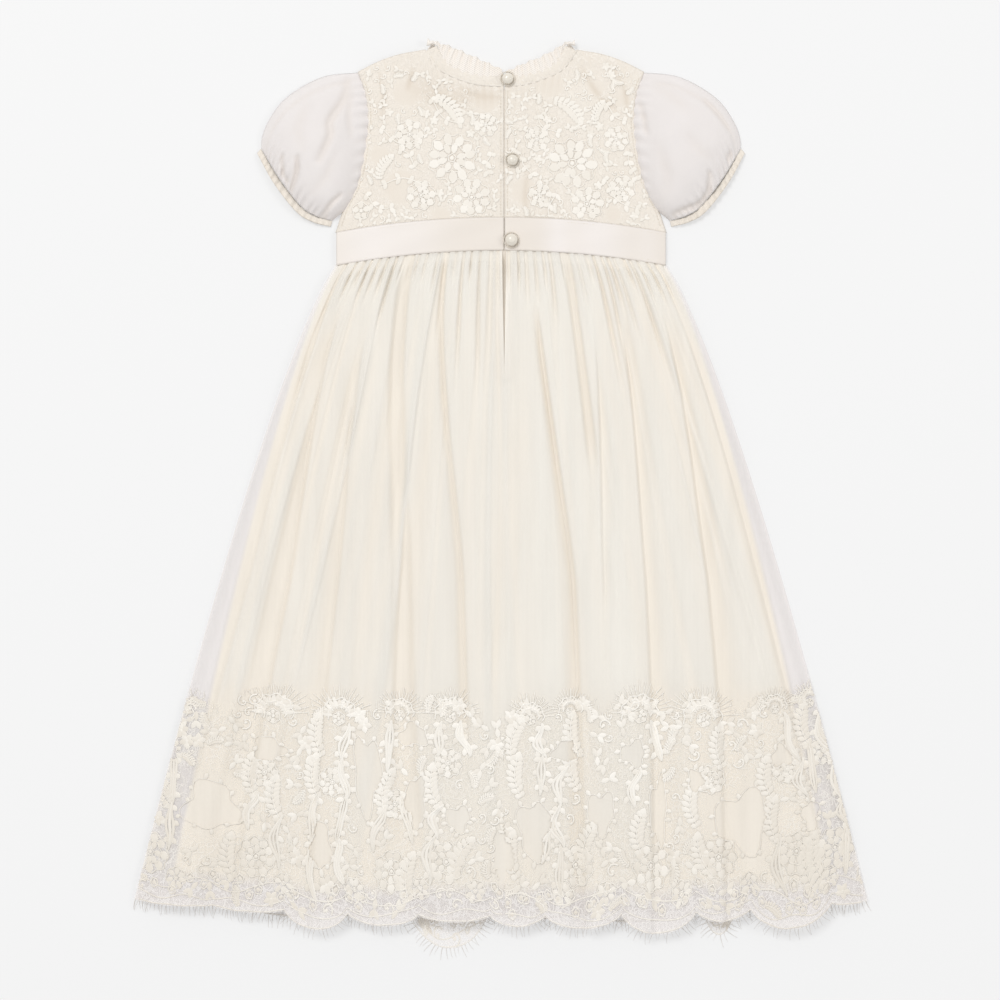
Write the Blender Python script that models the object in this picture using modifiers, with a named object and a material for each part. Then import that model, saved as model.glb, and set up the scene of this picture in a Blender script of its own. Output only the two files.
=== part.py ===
"""A baby's christening gown at its real size, laid flat on its front with its back up.

Sizes are in millimetres and become metres where a point is placed. X runs across the gown,
Y from the hem up to the neck and Z up from the surface that it lies on. The origin is the
middle of the gown's outline, on that surface. Each cloth piece is a grid of points that a
function places, thickened with Solidify, and pieces keep a small gap at their seams.
"""

import math

import bmesh
import bpy
from mathutils import Vector

MM = 0.001

# Cloth walls and the gap between pieces
NET = 1.0
SILK = 1.0
LACE = 1.0
BODICE = 1.2
SATIN = 1.5
VOILE = 0.9
GAP = 0.3

# Waist and skirt
CENTRE_BACK = 2.4
OPENING_HALF = 1.2
WAIST_HALF = 122.6
WAIST_Y = 174.0
WAIST_ARCH = 11.0
BAND_HEIGHT = 24.0
BAND_TOP = WAIST_Y + WAIST_ARCH + BAND_HEIGHT
SKIRT_FLARE = 152.6
SKIRT_FLARE_POWER = 0.78
HEM_DROP = 476.0
HEM_BELLY = 12.0
SLIT_LENGTH = 97.0
SLIT_HALF = 2.2
SILK_DROP = 460.0
SILK_INSET = 24.0
BACK_SILK_LOWER = 8.0
SILK_WAVE = 1.1
LACE_TOP = 0.665
LACE_CLEAR = 0.8
GATHERS_EACH_SIDE = 20
GATHER_HEIGHT = 2.6
LOFT_AT_WAIST = 4.6
LOFT = 7.4
LEAST_LOFT = 1.6
FOLD_FADE = 0.12
NET_ROWS = (0.0, 0.025, 0.07, 0.17, 0.30, 0.44, 0.57, LACE_TOP, 0.78, 0.89, 1.0)
THIN_FROM = 2
FRONT_LACE_COLUMNS = 46

# Eyelash threads at the hem
FRINGE_GAP = 0.5
FRINGE_STRIP = 1.2
FRINGE_ROOT = 1.7
FRINGE_LENGTH = 4.6
FRINGE_END_HEIGHT = 0.6
FRINGE_THICKNESS = 0.8

# Bodice, neck and placket
SEAM_SHARE = 0.004
CROWN_AT_WAIST = 2.8
CROWN_AT_NECK = 1.9
CROWN_HALF = 124.0
NECK_COLUMNS = 6
NECK_WAVES = 12
PLACKET_HALF = 6.5
PLACKET_WALL = 1.0
TRIM_WALL = 0.8
LOOP_CORD = 0.55
PEARL_FLATNESS = 0.72

# Outlines of the upper gown's left half, from the centre back outwards or from top to bottom
SIDE_SEAM = (
    (-123.0, 199.0), (-117.0, 216.4), (-108.8, 232.0), (-103.5, 252.4),
    (-99.8, 279.4), (-101.3, 301.0), (-107.0, 318.0),
)
SHOULDER = ((-107.0, 318.0), (-92.0, 325.5), (-76.0, 331.0), (-56.5, 334.5))
NECK_SEAM = ((0.0, 307.9), (-18.0, 309.5), (-34.5, 314.5), (-47.0, 321.5), (-56.5, 334.5))
BINDING_EDGE = ((0.0, 314.5), (-16.0, 316.0), (-31.0, 320.0), (-42.0, 327.0), (-49.0, 338.0))
FRILL_BASE = (
    (0.0, 315.2), (-16.0, 316.7), (-31.0, 320.7), (-41.6, 327.9), (-47.8, 338.9), (-55.5, 339.8),
)
FRILL_EDGE = ((-1.5, 320.0), (-16.0, 326.5), (-30.0, 332.5), (-43.0, 338.5), (-55.0, 343.4))
FRONT_NECK = ((0.0, 284.0), (-22.0, 288.0), (-42.0, 303.0), (-56.5, 334.5))
OUTER_FOLD = (
    (-108.0, 319.0), (-129.8, 316.1), (-147.8, 308.6), (-164.3, 296.6),
    (-174.8, 281.6), (-179.3, 270.0), (-180.0, 261.5),
)
ARMHOLE = (
    (-107.6, 318.4), (-101.8, 301.0), (-100.4, 279.4),
    (-104.1, 252.4), (-109.5, 232.0), (-117.6, 216.5),
)
CUFF_SEAM = ((-180.0, 261.5), (-166.5, 239.0), (-150.5, 218.5), (-139.5, 211.0), (-126.6, 207.2))
CUFF_EDGE = ((-183.2, 257.8), (-170.5, 235.0), (-154.0, 214.0), (-141.5, 206.2), (-128.0, 202.6))
SLEEVE_PUFF = 15.0
SLEEVE_FOLD_HEIGHT = 1.4
SLEEVE_LAYER_GAP = 2.0
SLEEVE_TOP_SHARE = 0.68
CUFF_WAVES = 9

# Main folds of the skirt's back. waist, mid and hem are places as shares of the half width, start and end
# are shares of the length, and left, right and depth are in mm
FOLD_COLUMNS = ("waist", "mid", "hem", "start", "end", "left", "right", "depth")
BACK_FOLDS = (
    (-0.930, -0.900, -0.930, 0.02, 0.90, 6.0, 4.0, 3.0),
    (-0.860, -0.757, -0.745, 0.05, 1.10, 13.0, 4.0, 4.5),
    (-0.700, -0.585, -0.530, 0.10, 1.10, 10.0, 4.0, 3.6),
    (-0.540, -0.350, -0.230, -0.10, 0.95, 9.0, 4.0, 4.6),
    (-0.330, -0.140, -0.070, -0.10, 0.80, 5.0, 3.5, 4.0),
    (0.170, 0.255, 0.220, 0.05, 1.10, 7.0, 4.0, 4.4),
    (0.380, 0.370, 0.320, -0.10, 0.38, 5.0, 4.0, 4.8),
    (0.490, 0.370, 0.260, 0.10, 0.60, 4.0, 7.0, 3.4),
    (0.630, 0.520, 0.420, 0.05, 1.10, 4.0, 9.0, 4.0),
    (0.860, 0.740, 0.620, 0.05, 1.10, 4.0, 9.0, 4.6),
    (0.930, 0.920, 0.910, 0.05, 0.95, 4.0, 7.0, 3.4),
)

# Lobes of the two scalloped hems, as where each starts, where it ends and how far it hangs
BACK_LOBES = (
    (-277.0, -216.0, 2.0), (-216.0, -162.0, 3.0), (-162.0, -115.0, 13.5), (-115.0, -62.0, 9.0),
    (-62.0, -8.0, 5.0), (-8.0, 33.0, 8.5), (33.0, 90.0, 10.7), (90.0, 146.0, 16.0),
    (146.0, 187.0, 9.0), (187.0, 247.0, 17.5), (247.0, 277.0, 3.0),
)
FRONT_LOBES = (
    (-277.0, -190.0, 1.0), (-190.0, -130.0, 6.0), (-130.0, -75.0, 5.0), (-68.0, -10.0, 26.0),
    (-10.0, 60.0, 4.0), (60.0, 152.0, 8.0), (152.0, 176.0, 20.0), (176.0, 277.0, 3.0),
)

# Gaps cut through the lace, as centre across in mm, centre down as a share, half width and half height
LACE_GAPS = (
    (-232.0, 0.800, 7.0, 15.0), (-205.0, 0.915, 9.0, 12.0), (-176.0, 0.775, 8.0, 17.0),
    (-148.0, 0.900, 9.0, 13.0), (-122.0, 0.760, 8.0, 15.0), (-97.0, 0.880, 7.0, 16.0),
    (-63.0, 0.760, 9.0, 12.0), (-42.0, 0.900, 9.0, 15.0), (-14.0, 0.800, 7.0, 16.0),
    (22.0, 0.860, 9.0, 17.0), (48.0, 0.755, 9.0, 13.0), (70.0, 0.910, 8.0, 12.0),
    (96.0, 0.770, 9.0, 15.0), (122.0, 0.895, 9.0, 14.0), (150.0, 0.780, 8.0, 17.0),
    (180.0, 0.860, 11.0, 18.0), (212.0, 0.770, 8.0, 14.0), (232.0, 0.915, 9.0, 12.0),
)

# Lace sprays on the bodice, as centre across, centre up, size, petals and turn in degrees
BLOSSOMS = (
    (-36.8, 254.0, 18.5, 8, 10.0), (-22.0, 224.5, 14.0, 7, 0.0), (-68.5, 272.0, 11.0, 6, 20.0),
    (-11.5, 279.0, 9.0, 6, 0.0), (-60.0, 226.0, 11.0, 6, 30.0), (-105.0, 214.5, 7.0, 5, 0.0),
    (53.5, 250.0, 18.5, 8, 0.0), (64.5, 219.5, 12.5, 7, 15.0), (27.0, 268.5, 9.5, 6, 10.0),
    (86.5, 268.5, 9.5, 6, 0.0), (91.0, 231.0, 10.0, 6, 40.0), (29.0, 226.0, 9.0, 6, 20.0),
)
LEAVES = (
    (-40.0, 290.0, 13.0, 4.6, -45.0), (-86.5, 247.0, 10.0, 4.0, 60.0),
    (50.0, 289.0, 13.0, 4.6, -40.0), (74.0, 288.0, 9.0, 3.6, 70.0),
)

# Pearls of the back opening, as centre across, centre up and radius
PEARLS = ((5.0, 313.4, 4.2), (8.6, 252.4, 4.0), (7.8, 192.4, 4.6))

IVORY_NET = ("tulle", (0.93, 0.90, 0.85), 0.75)
IVORY_SILK = ("silk", (0.92, 0.88, 0.81), 0.55)
IVORY_LACE = ("lace", (0.94, 0.91, 0.86), 0.85)
IVORY_CREPE = ("bodice_silk", (0.90, 0.86, 0.80), 0.70)
WHITE_VOILE = ("sleeve_voile", (0.89, 0.87, 0.85), 0.70)
IVORY_SATIN = ("satin", (0.93, 0.91, 0.88), 0.30)
PEARL = ("pearl", (0.92, 0.90, 0.86), 0.18)

parts = bpy.data.collections.new("christening_gown")


def clear_scene():
    for thing in list(bpy.data.objects):
        bpy.data.objects.remove(thing, do_unlink=True)
    bpy.context.scene.collection.children.link(parts)


def material_of(look):
    name, colour, roughness = look
    made = bpy.data.materials.get(name)
    if made is None:
        made = bpy.data.materials.new(name)
        made.use_nodes = True
        shader = made.node_tree.nodes["Principled BSDF"]
        shader.inputs["Base Color"].default_value = (*colour, 1.0)
        shader.inputs["Roughness"].default_value = roughness
    return made


def smoothstep(low, high, x):
    share = min(1.0, max(0.0, (x - low) / (high - low)))
    return share * share * (3.0 - 2.0 * share)


def mix(a, b, share):
    return a + (b - a) * share


def curve_through(points):
    """A function from 0 to 1 along a smooth line through the points, spaced by their distances."""
    spots = [Vector(p) for p in points]
    along = [0.0]
    for here, after in zip(spots, spots[1:]):
        along.append(along[-1] + (after - here).length)

    def at(share):
        target = share * along[-1]
        i = max(0, min(len(spots) - 2, sum(1 for a in along[1:-1] if a <= target)))
        span = along[i + 1] - along[i]
        f = (target - along[i]) / span
        p0 = spots[max(i - 1, 0)]
        p1, p2 = spots[i], spots[i + 1]
        p3 = spots[min(i + 2, len(spots) - 1)]
        slope_1 = (p2 - p0) / (2.0 if i > 0 else 1.0)
        slope_2 = (p3 - p1) / (2.0 if i + 2 < len(spots) else 1.0)
        return (
            p1 * (2 * f**3 - 3 * f**2 + 1)
            + slope_1 * (f**3 - 2 * f**2 + f)
            + p2 * (3 * f**2 - 2 * f**3)
            + slope_2 * (f**3 - f**2)
        )

    return at


def joined_curves(first, second, share):
    """One function that runs along first for that share of its range, then along second."""
    return lambda t: first(t / share) if t < share else second((t - share) / (1.0 - share))


def patch(bottom, top, near, far):
    """A Coons patch: u runs along bottom and top, v along near (at u 0) and far (at u 1)."""

    def at(u, v):
        ruled = bottom(u) * (1 - v) + top(u) * v + near(v) * (1 - u) + far(v) * u
        corners = (bottom(0) * (1 - u) + bottom(1) * u) * (1 - v) + (top(0) * (1 - u) + top(1) * u) * v
        return ruled - corners

    return at


def mirrored(points, flip=1.0):
    return [(flip * x, y) for x, y in points]


def face_up(bm):
    """Turns every face over if the highest one points down."""
    bm.normal_update()
    highest = max(bm.faces, key=lambda f: f.calc_center_median().z)
    if highest.normal.z < 0:
        bmesh.ops.reverse_faces(bm, faces=bm.faces)
    bm.normal_update()


def thin_out_columns(bm, columns, row):
    """Takes out every second column's edges past that row, where the gathers have faded."""
    step = columns + 1
    verts = list(bm.verts)
    edges = []
    for r in range(row, len(verts) // step - 1):
        for c in range(1, columns, 2):
            edges.append(bm.edges.get((verts[r * step + c], verts[(r + 1) * step + c])))
    bmesh.ops.dissolve_edges(bm, edges=edges, use_verts=True)


def cloth_grid(place, columns, rows, thin_from=None):
    """A grid in metres. place(column share, row share) gives millimetres; rows is a list of shares."""
    bm = bmesh.new()
    bmesh.ops.create_grid(bm, x_segments=columns, y_segments=len(rows) - 1, size=0.5)
    step = columns + 1
    spots = [place((i % step) / columns, rows[i // step]) for i in range(len(bm.verts))]
    for vert, spot in zip(bm.verts, spots):
        vert.co = Vector(spot) * MM
    if thin_from is not None:
        thin_out_columns(bm, columns, thin_from)
    face_up(bm)
    return bm


def evenly(count):
    return [i / count for i in range(count + 1)]


def finish(name, bm, look, thickness=None, inward=False):
    """Makes the named object from the mesh, with a wall of that thickness above it, or inside it."""
    mesh = bpy.data.meshes.new(name)
    bm.to_mesh(mesh)
    bm.free()
    thing = bpy.data.objects.new(name, mesh)
    parts.objects.link(thing)
    mesh.materials.append(material_of(look))
    if thickness is not None:
        wall = thing.modifiers.new("wall", "SOLIDIFY")
        wall.thickness = thickness * MM
        wall.offset = -1.0 if inward else 1.0
    return thing


def waist_arch(x):
    """How far the waist seam rises above its ends at that place across."""
    return WAIST_ARCH * (1.0 - min(1.0, (x / WAIST_HALF) ** 2))


def skirt_half(v):
    return WAIST_HALF + SKIRT_FLARE * v**SKIRT_FLARE_POWER


def lobe_drop(x, lobes):
    """How far the scalloped hem hangs below its smooth line."""
    for start, end, depth in lobes:
        if start <= x <= end:
            f = (x - start) / (end - start)
            return depth * (4.0 * f * (1.0 - f)) ** 0.7
    return 0.0


def skirt_y(x, v, lobes):
    share = min(1.0, abs(x) / skirt_half(v))
    down = v * (HEM_DROP + HEM_BELLY * (1.0 - share**2)) + lobe_drop(x, lobes) * smoothstep(0.9, 1.0, v)
    return WAIST_Y + waist_arch(x * WAIST_HALF / skirt_half(v)) * (1.0 - v) - down


def lace_lift(v):
    """The skirt's layers rise over the front lace, which lies under them at the hem."""
    return (LACE + GAP) * smoothstep(0.57, 0.66, v)


def fold_depth(x, v, fold):
    """The depth that one main fold takes from the skirt's back at that place."""
    row = dict(zip(FOLD_COLUMNS, fold))
    if v < 0.5:
        line = mix(row["waist"], row["mid"], smoothstep(0.0, 1.0, 2.0 * v) * 0.4 + 1.2 * v)
    else:
        line = mix(row["mid"], row["hem"], 2.0 * v - 1.0)
    away = x - line * skirt_half(v)
    width = (row["left"] if away < 0 else row["right"]) * (0.55 + 0.9 * v)
    starting = smoothstep(row["start"], row["start"] + FOLD_FADE, v)
    ending = 1.0 - smoothstep(row["end"] - FOLD_FADE, row["end"], v)
    return row["depth"] * starting * ending * math.exp(-((away / width) ** 2))


def net_rise(x, v):
    """How high the back net stands above the silk under it, with its main folds."""
    edge = smoothstep(1.0, 0.9, abs(x) / skirt_half(v))
    loft = mix(LOFT_AT_WAIST, LOFT, smoothstep(0.0, 0.3, v))
    folds = sum(fold_depth(x, v, fold) for fold in BACK_FOLDS)
    return max(LEAST_LOFT, loft - folds) * edge


def net_height(x, v):
    """The lower face of the back net. Its sides come down onto the front net, except near the waist."""
    over_silk = 2.0 * (NET + GAP) + SILK + GAP
    at_edge = mix(over_silk, NET + GAP, smoothstep(0.0, 0.45, v))
    inside = smoothstep(1.0, 0.955, abs(x) / skirt_half(v))
    return lace_lift(v) + mix(at_edge, over_silk, inside) + net_rise(x, v)


def gather(u, v):
    """The small gathers under the waistband, each a different length."""
    number = math.floor(u * GATHERS_EACH_SIDE + 0.5)
    reach = 0.055 + 0.045 * math.sin(2.4 * number) ** 2
    wave = 0.5 + 0.5 * math.cos(2.0 * math.pi * GATHERS_EACH_SIDE * u)
    return GATHER_HEIGHT * wave * (1.0 - smoothstep(0.0, reach, v))


def uneven(u):
    """Shifts the gathers a little, so that they aren't equally wide."""
    return u + 0.22 / GATHERS_EACH_SIDE * math.sin(9.0 * u) * math.sin(math.pi * u)


def slit_half(v):
    return mix(SLIT_HALF, GAP / 2.0, smoothstep(0.0, SLIT_LENGTH / HEM_DROP, v))


def net_place(side):
    """Where a point of the left or right back net lies, with its lower face's height."""

    def place(u, v):
        outer = side * skirt_half(v)
        inner = CENTRE_BACK + side * slit_half(v)
        x = mix(outer, inner, uneven(u))
        y = skirt_y(x, v, BACK_LOBES) - GAP * (1.0 - v)
        return x, y, net_height(x, v) + gather(u, v)

    return place


def build_back_net():
    for label, side in (("left", -1.0), ("right", 1.0)):
        grid = cloth_grid(net_place(side), 4 * GATHERS_EACH_SIDE, NET_ROWS, THIN_FROM)
        finish(f"net_skirt_back_{label}", grid, IVORY_NET, NET)


def build_front_net():
    def place(u, v):
        x = mix(-1.0, 1.0, u) * skirt_half(v)
        return x, skirt_y(x, v, FRONT_LOBES) - GAP * (1.0 - v), lace_lift(v)

    rows = (0.0, 0.2, 0.57, 0.66, 0.9, 1.0)
    finish("net_skirt_front", cloth_grid(place, 30, rows), IVORY_NET, NET)


def silk_half(v):
    return skirt_half(v) - 1.5 - SILK_INSET * v


def build_silk():
    """The two silk panels inside the net, the back one in soft waves."""

    def wave(x, v):
        inside = smoothstep(1.0, 0.8, abs(x) / silk_half(v)) * smoothstep(4.0, 24.0, abs(x - CENTRE_BACK))
        return SILK_WAVE / 2.0 * (1.0 - math.cos(x / 13.0 + 3.0 * v)) * inside

    def front(u, v):
        x = mix(-1.0, 1.0, u) * silk_half(v)
        down = v * SILK_DROP / HEM_DROP
        return x, skirt_y(x, down, ()) - (1.0 - v), lace_lift(down) + NET + GAP

    def back(u, v):
        x, y, z = front(u, v)
        return x, y - BACK_SILK_LOWER * (1.0 - v), z + SILK + GAP + wave(x, v)

    rows = (0.0, 0.3, 0.588, 0.685, 0.83, 1.0)
    finish("silk_skirt_front", cloth_grid(front, 8, rows), IVORY_SILK, SILK)
    finish("silk_skirt_back", cloth_grid(back, 22, rows), IVORY_SILK, SILK)


def in_lace_gap(x, v):
    return any(
        abs(x - across) / half_width < 1.0
        and ((x - across) / half_width) ** 2 + ((v - down) * HEM_DROP / half_height) ** 2 < 1.0
        for across, down, half_width, half_height in LACE_GAPS
    )


def moved_out(bm, distance):
    """Moves an open sheet out from the cloth that it lies on, along its own normals."""
    bm.normal_update()
    for vert, normal in [(v, v.normal.copy()) for v in bm.verts]:
        vert.co += normal * distance * MM


def lace_rows():
    """The net's own rows over the border, each halved, so that the lace lies on its facets."""
    rows = [v for v in NET_ROWS if v >= LACE_TOP]
    halves = [(a + b) / 2.0 for a, b in zip(rows, rows[1:])]
    return sorted(rows + halves)


def build_back_lace():
    """The border's two back lengths, cut through at their largest gaps."""
    for label, side in (("left", -1.0), ("right", 1.0)):
        net = net_place(side)

        def place(u, v):
            above, below = [(a, b) for a, b in zip(NET_ROWS, NET_ROWS[1:]) if a <= v <= b][0]
            share = (v - above) / (below - above)
            return Vector(net(u, above)).lerp(Vector(net(u, below)), share)

        grid = cloth_grid(place, 2 * GATHERS_EACH_SIDE, lace_rows())
        moved_out(grid, NET + LACE_CLEAR)
        cut = []
        for face in grid.faces:
            spot = face.calc_center_median() / MM
            v = (WAIST_Y - spot.y) / (HEM_DROP + HEM_BELLY * (1.0 - (spot.x / skirt_half(0.9)) ** 2))
            if in_lace_gap(spot.x, v):
                cut.append(face)
        bmesh.ops.delete(grid, geom=cut, context="FACES")
        finish(f"lace_border_back_{label}", grid, IVORY_LACE, LACE)


def front_lace_place(u, v):
    x = mix(-1.0, 1.0, u) * skirt_half(v)
    return x, skirt_y(x, v, FRONT_LOBES), 0.0


def build_front_lace():
    grid = cloth_grid(front_lace_place, FRONT_LACE_COLUMNS, (LACE_TOP, 0.92, 1.0))
    finish("lace_border_front", grid, IVORY_LACE, LACE)


def eyelash_fringe(name, hem, strands):
    """A narrow strip just past the hem, with tapered strands. hem is the cloth's own edge, point by point,
    and strands(i) is how many stand out of the strip between point i and the next."""
    bm = bmesh.new()

    def corner(spot, out, lowered, lean=0.0):
        height = mix(spot.z, min(spot.z, FRINGE_END_HEIGHT), lowered)
        return bm.verts.new(Vector((spot.x + lean, spot.y - FRINGE_GAP - out, height)) * MM)

    inner = [corner(spot, 0.0, 0.0) for spot in hem]
    last = corner(hem[0], FRINGE_STRIP, 0.1)
    number = 0
    for i, (here, after) in enumerate(zip(hem, hem[1:])):
        edge = [last]
        if 0 < i and here.y < (hem[i - 1].y + after.y) / 2.0:
            edge.append(corner(here, FRINGE_STRIP, 0.1))
        count = strands(i)
        root = FRINGE_ROOT / (after.x - here.x)
        for k in range(count):
            start = (k + 0.5) / count - root / 2.0
            first, second = here.lerp(after, start), here.lerp(after, start + root)
            reach = FRINGE_STRIP + FRINGE_LENGTH * (0.8 + 0.2 * math.sin(2.9 * number))
            roots = corner(first, FRINGE_STRIP, 0.1), corner(second, FRINGE_STRIP, 0.1)
            tip = corner(first.lerp(second, 0.5), reach, 0.7, 1.2 * math.sin(1.7 * number))
            bm.faces.new((roots[0], tip, roots[1]))
            edge.extend(roots)
            number += 1
        bm.faces.new((inner[i], *edge, inner[i + 1]))
        last = edge[-1]
    bm.faces.new((inner[-1], last, corner(hem[-1], FRINGE_STRIP, 0.1)))
    face_up(bm)
    finish(name, bm, IVORY_LACE, FRINGE_THICKNESS)


def build_fringes():
    """The eyelash threads at the edges of the lace border."""
    lift = Vector((0.0, 0.0, NET + GAP))
    columns = 2 * GATHERS_EACH_SIDE
    for label, side in (("left", -1.0), ("right", 1.0)):
        spots = [Vector(net_place(side)(i / columns, 1.0)) + lift for i in range(columns + 1)]
        spots.sort(key=lambda spot: spot.x)
        eyelash_fringe(f"hem_fringe_back_{label}", spots, lambda i: 1 + i % 2)
    spots = [Vector(front_lace_place(i / FRONT_LACE_COLUMNS, 1.0)) for i in range(FRONT_LACE_COLUMNS + 1)]
    eyelash_fringe("hem_fringe_front", spots, lambda i: 1)


def back_height(x, y):
    """The lower face of the bodice's back and of its waistband, crowned over the placket."""
    across = 1.0 - min(1.0, (x / CROWN_HALF) ** 2)
    return BODICE + GAP + mix(CROWN_AT_WAIST, CROWN_AT_NECK, smoothstep(200.0, 320.0, y)) * across**0.6


def bodice_patch(flip, centre, neck_points):
    """The outline of one bodice half: u runs from the centre out, v from the waist up."""
    side_points = mirrored(SIDE_SEAM, flip)
    neck = curve_through([(centre, neck_points[0][1])] + mirrored(neck_points[1:], flip))
    shoulder = curve_through(mirrored(SHOULDER[::-1], flip))
    side_x, side_y = side_points[0]

    def bottom(u):
        x = mix(centre, side_x, u)
        return Vector((x, side_y + waist_arch(x)))

    centre_line = curve_through([tuple(bottom(0.0)), tuple(neck(0.0))])
    outline = patch(bottom, joined_curves(neck, shoulder, 0.5), centre_line, curve_through(side_points))
    return lambda u, v: outline(u * (1.0 - SEAM_SHARE), mix(SEAM_SHARE, 1.0 - SEAM_SHARE, v))


def build_bodice():
    for label, flip in (("left", 1.0), ("right", -1.0)):
        outline = bodice_patch(flip, CENTRE_BACK - flip * OPENING_HALF, NECK_SEAM)

        def place(u, v):
            spot = outline(u, v)
            return spot.x, spot.y, back_height(spot.x, spot.y)

        finish(f"bodice_back_{label}", cloth_grid(place, 2 * NECK_COLUMNS, evenly(8)), IVORY_CREPE, BODICE)

    fronts = [bodice_patch(flip, 0.0, FRONT_NECK) for flip in (1.0, -1.0)]

    def front(u, v):
        half = fronts[0] if u < 0.5 else fronts[1]
        spot = half(abs(2.0 * u - 1.0), v)
        return spot.x, spot.y, 0.0

    finish("bodice_front", cloth_grid(front, 16, evenly(8)), IVORY_CREPE, BODICE)


def band_place(start, end, height):
    def place(u, v):
        x = mix(start, end, u)
        bottom = WAIST_Y + waist_arch(x) + GAP
        y = mix(bottom, bottom + BAND_HEIGHT - 2.0 * GAP, v)
        return x, y, height(x, y)

    return place


def build_waistband():
    """The satin ribbon: its front lies on the surface, and its back halves meet at the opening."""
    half = WAIST_HALF + 1.0
    left = band_place(-half, CENTRE_BACK - OPENING_HALF, back_height)
    right = band_place(CENTRE_BACK + 2.0 * OPENING_HALF, half, back_height)
    front = band_place(-half, half, lambda x, y: 0.0)
    finish("waistband_back_left", cloth_grid(left, 12, evenly(2)), IVORY_SATIN, SATIN)
    finish("waistband_back_right", cloth_grid(right, 12, evenly(2)), IVORY_SATIN, SATIN)
    finish("waistband_front", cloth_grid(front, 12, evenly(1)), IVORY_SATIN, BODICE)


def build_placket():
    """The underlap behind the opening, from the neck to the end of the skirt's slit."""
    on_silk = 2.0 * (NET + GAP) + SILK + 2.0 * GAP
    under_band = BODICE + GAP + CROWN_AT_WAIST - PLACKET_WALL - GAP
    on_front = BODICE + GAP
    steps = (
        (WAIST_Y + WAIST_ARCH - SLIT_LENGTH, on_silk), (WAIST_Y + 2.5, on_silk),
        (WAIST_Y + 9.8, under_band), (WAIST_Y + 16.0, under_band),
        (WAIST_Y + 40.0, on_front), (NECK_SEAM[0][1] - 2.0, on_front),
    )

    def place(u, v):
        y, z = steps[round(v * (len(steps) - 1))]
        return CENTRE_BACK + mix(-PLACKET_HALF, PLACKET_HALF, u), y, z

    finish("placket", cloth_grid(place, 2, evenly(len(steps) - 1)), IVORY_CREPE, PLACKET_WALL)


def strip_place(inner, outer, start, end, height):
    """A strip between two lines; start and end are shares of the width between them."""

    def place(u, v):
        spot = inner(u).lerp(outer(u), mix(start, end, v))
        return spot.x, spot.y, height(u, v, spot)

    return place


def build_neck():
    """A flat binding and a gathered frill round each half of the back neck, and the front frill."""
    for label, flip in (("left", 1.0), ("right", -1.0)):

        def line(points):
            first = (CENTRE_BACK + flip * (points[0][0] - OPENING_HALF), points[0][1])
            return curve_through([first] + mirrored(points[1:], flip))

        def flat(u, v, spot):
            return back_height(spot.x, spot.y)

        def waved(u, v, spot):
            fullness = 1.1 * v * smoothstep(0.06, 0.22, u)
            return back_height(spot.x, spot.y) + fullness * (1.0 - math.cos(2.0 * math.pi * NECK_WAVES * u))

        binding = strip_place(line(NECK_SEAM), line(BINDING_EDGE), 0.05, 0.94, flat)
        frill = strip_place(line(FRILL_BASE), line(FRILL_EDGE), 0.0, 1.0, waved)
        finish(f"neck_binding_{label}", cloth_grid(binding, NECK_COLUMNS, evenly(1)), IVORY_CREPE, BODICE)
        finish(f"neck_frill_{label}", cloth_grid(frill, 4 * NECK_WAVES, evenly(1)), IVORY_NET, NET)

    raised = [(x * 0.9, y + 7.0) for x, y in FRONT_NECK]
    low, high = (curve_through(half[::-1] + mirrored(half[1:], -1.0)) for half in (list(FRONT_NECK), raised))
    front = strip_place(low, high, 0.22, 1.0, lambda u, v, spot: 0.0)
    finish("neck_frill_front", cloth_grid(front, 20, evenly(1)), IVORY_NET, NET)


def sleeve_tube(name, flip, shape, around, rows):
    """A flattened tube: its lower layer lies flat, and its upper layer puffs up between its two folds.

    shape["near"] and shape["far"] are the tube's two ends, each a line from the outer fold to the
    underarm, and shape["outer"] and shape["under"] are the folds that join them.
    """
    lines = (shape[name] for name in ("near", "far", "outer", "under"))
    outline = patch(*(curve_through(mirrored(line, flip)) for line in lines))

    def place(u, v):
        u = u % 1.0
        over = u < SLEEVE_TOP_SHARE
        a = u / SLEEVE_TOP_SHARE if over else (1.0 - u) / (1.0 - SLEEVE_TOP_SHARE)
        spot = outline(a, v)
        belly = (4.0 * a * (1.0 - a)) ** 0.5
        if not over:
            return spot.x, spot.y, SLEEVE_FOLD_HEIGHT * (1.0 - belly) ** 2
        rise = shape["height"] * math.sin(math.pi * mix(0.1, shape["closing"], v))
        pleat = shape["pleat"] * math.sin(2.0 * math.pi * CUFF_WAVES * a)
        crease = shape["crease"] * math.sin(19.0 * a + 1.0) * smoothstep(0.35, 1.0, v)
        return spot.x, spot.y, SLEEVE_FOLD_HEIGHT + belly * (SLEEVE_LAYER_GAP + rise + pleat + crease)

    grid = cloth_grid(place, around, evenly(rows))
    bmesh.ops.remove_doubles(grid, verts=grid.verts, dist=0.0001 * MM)
    face_up(grid)
    finish(name, grid, WHITE_VOILE, VOILE, inward=True)


def build_sleeves():
    armhole = [(x + 0.1, y) for x, y in ARMHOLE]
    frill_seam = [(x - 0.25, y - 0.3) for x, y in CUFF_SEAM]
    sleeve = {
        "near": armhole, "far": CUFF_SEAM,
        "outer": (armhole[0],) + OUTER_FOLD[1:], "under": (armhole[-1], CUFF_SEAM[-1]),
        "height": SLEEVE_PUFF, "closing": 0.93, "crease": 0.9, "pleat": 0.0,
    }
    frill = {
        "near": frill_seam, "far": CUFF_EDGE,
        "outer": (frill_seam[0], CUFF_EDGE[0]), "under": (frill_seam[-1], CUFF_EDGE[-1]),
        "height": 1.5, "closing": 0.5, "crease": 0.0, "pleat": 0.6,
    }
    for label, flip in (("left", 1.0), ("right", -1.0)):
        sleeve_tube(f"sleeve_{label}", flip, sleeve, 26, 6)
        sleeve_tube(f"cuff_frill_{label}", flip, frill, 52, 1)


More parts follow.
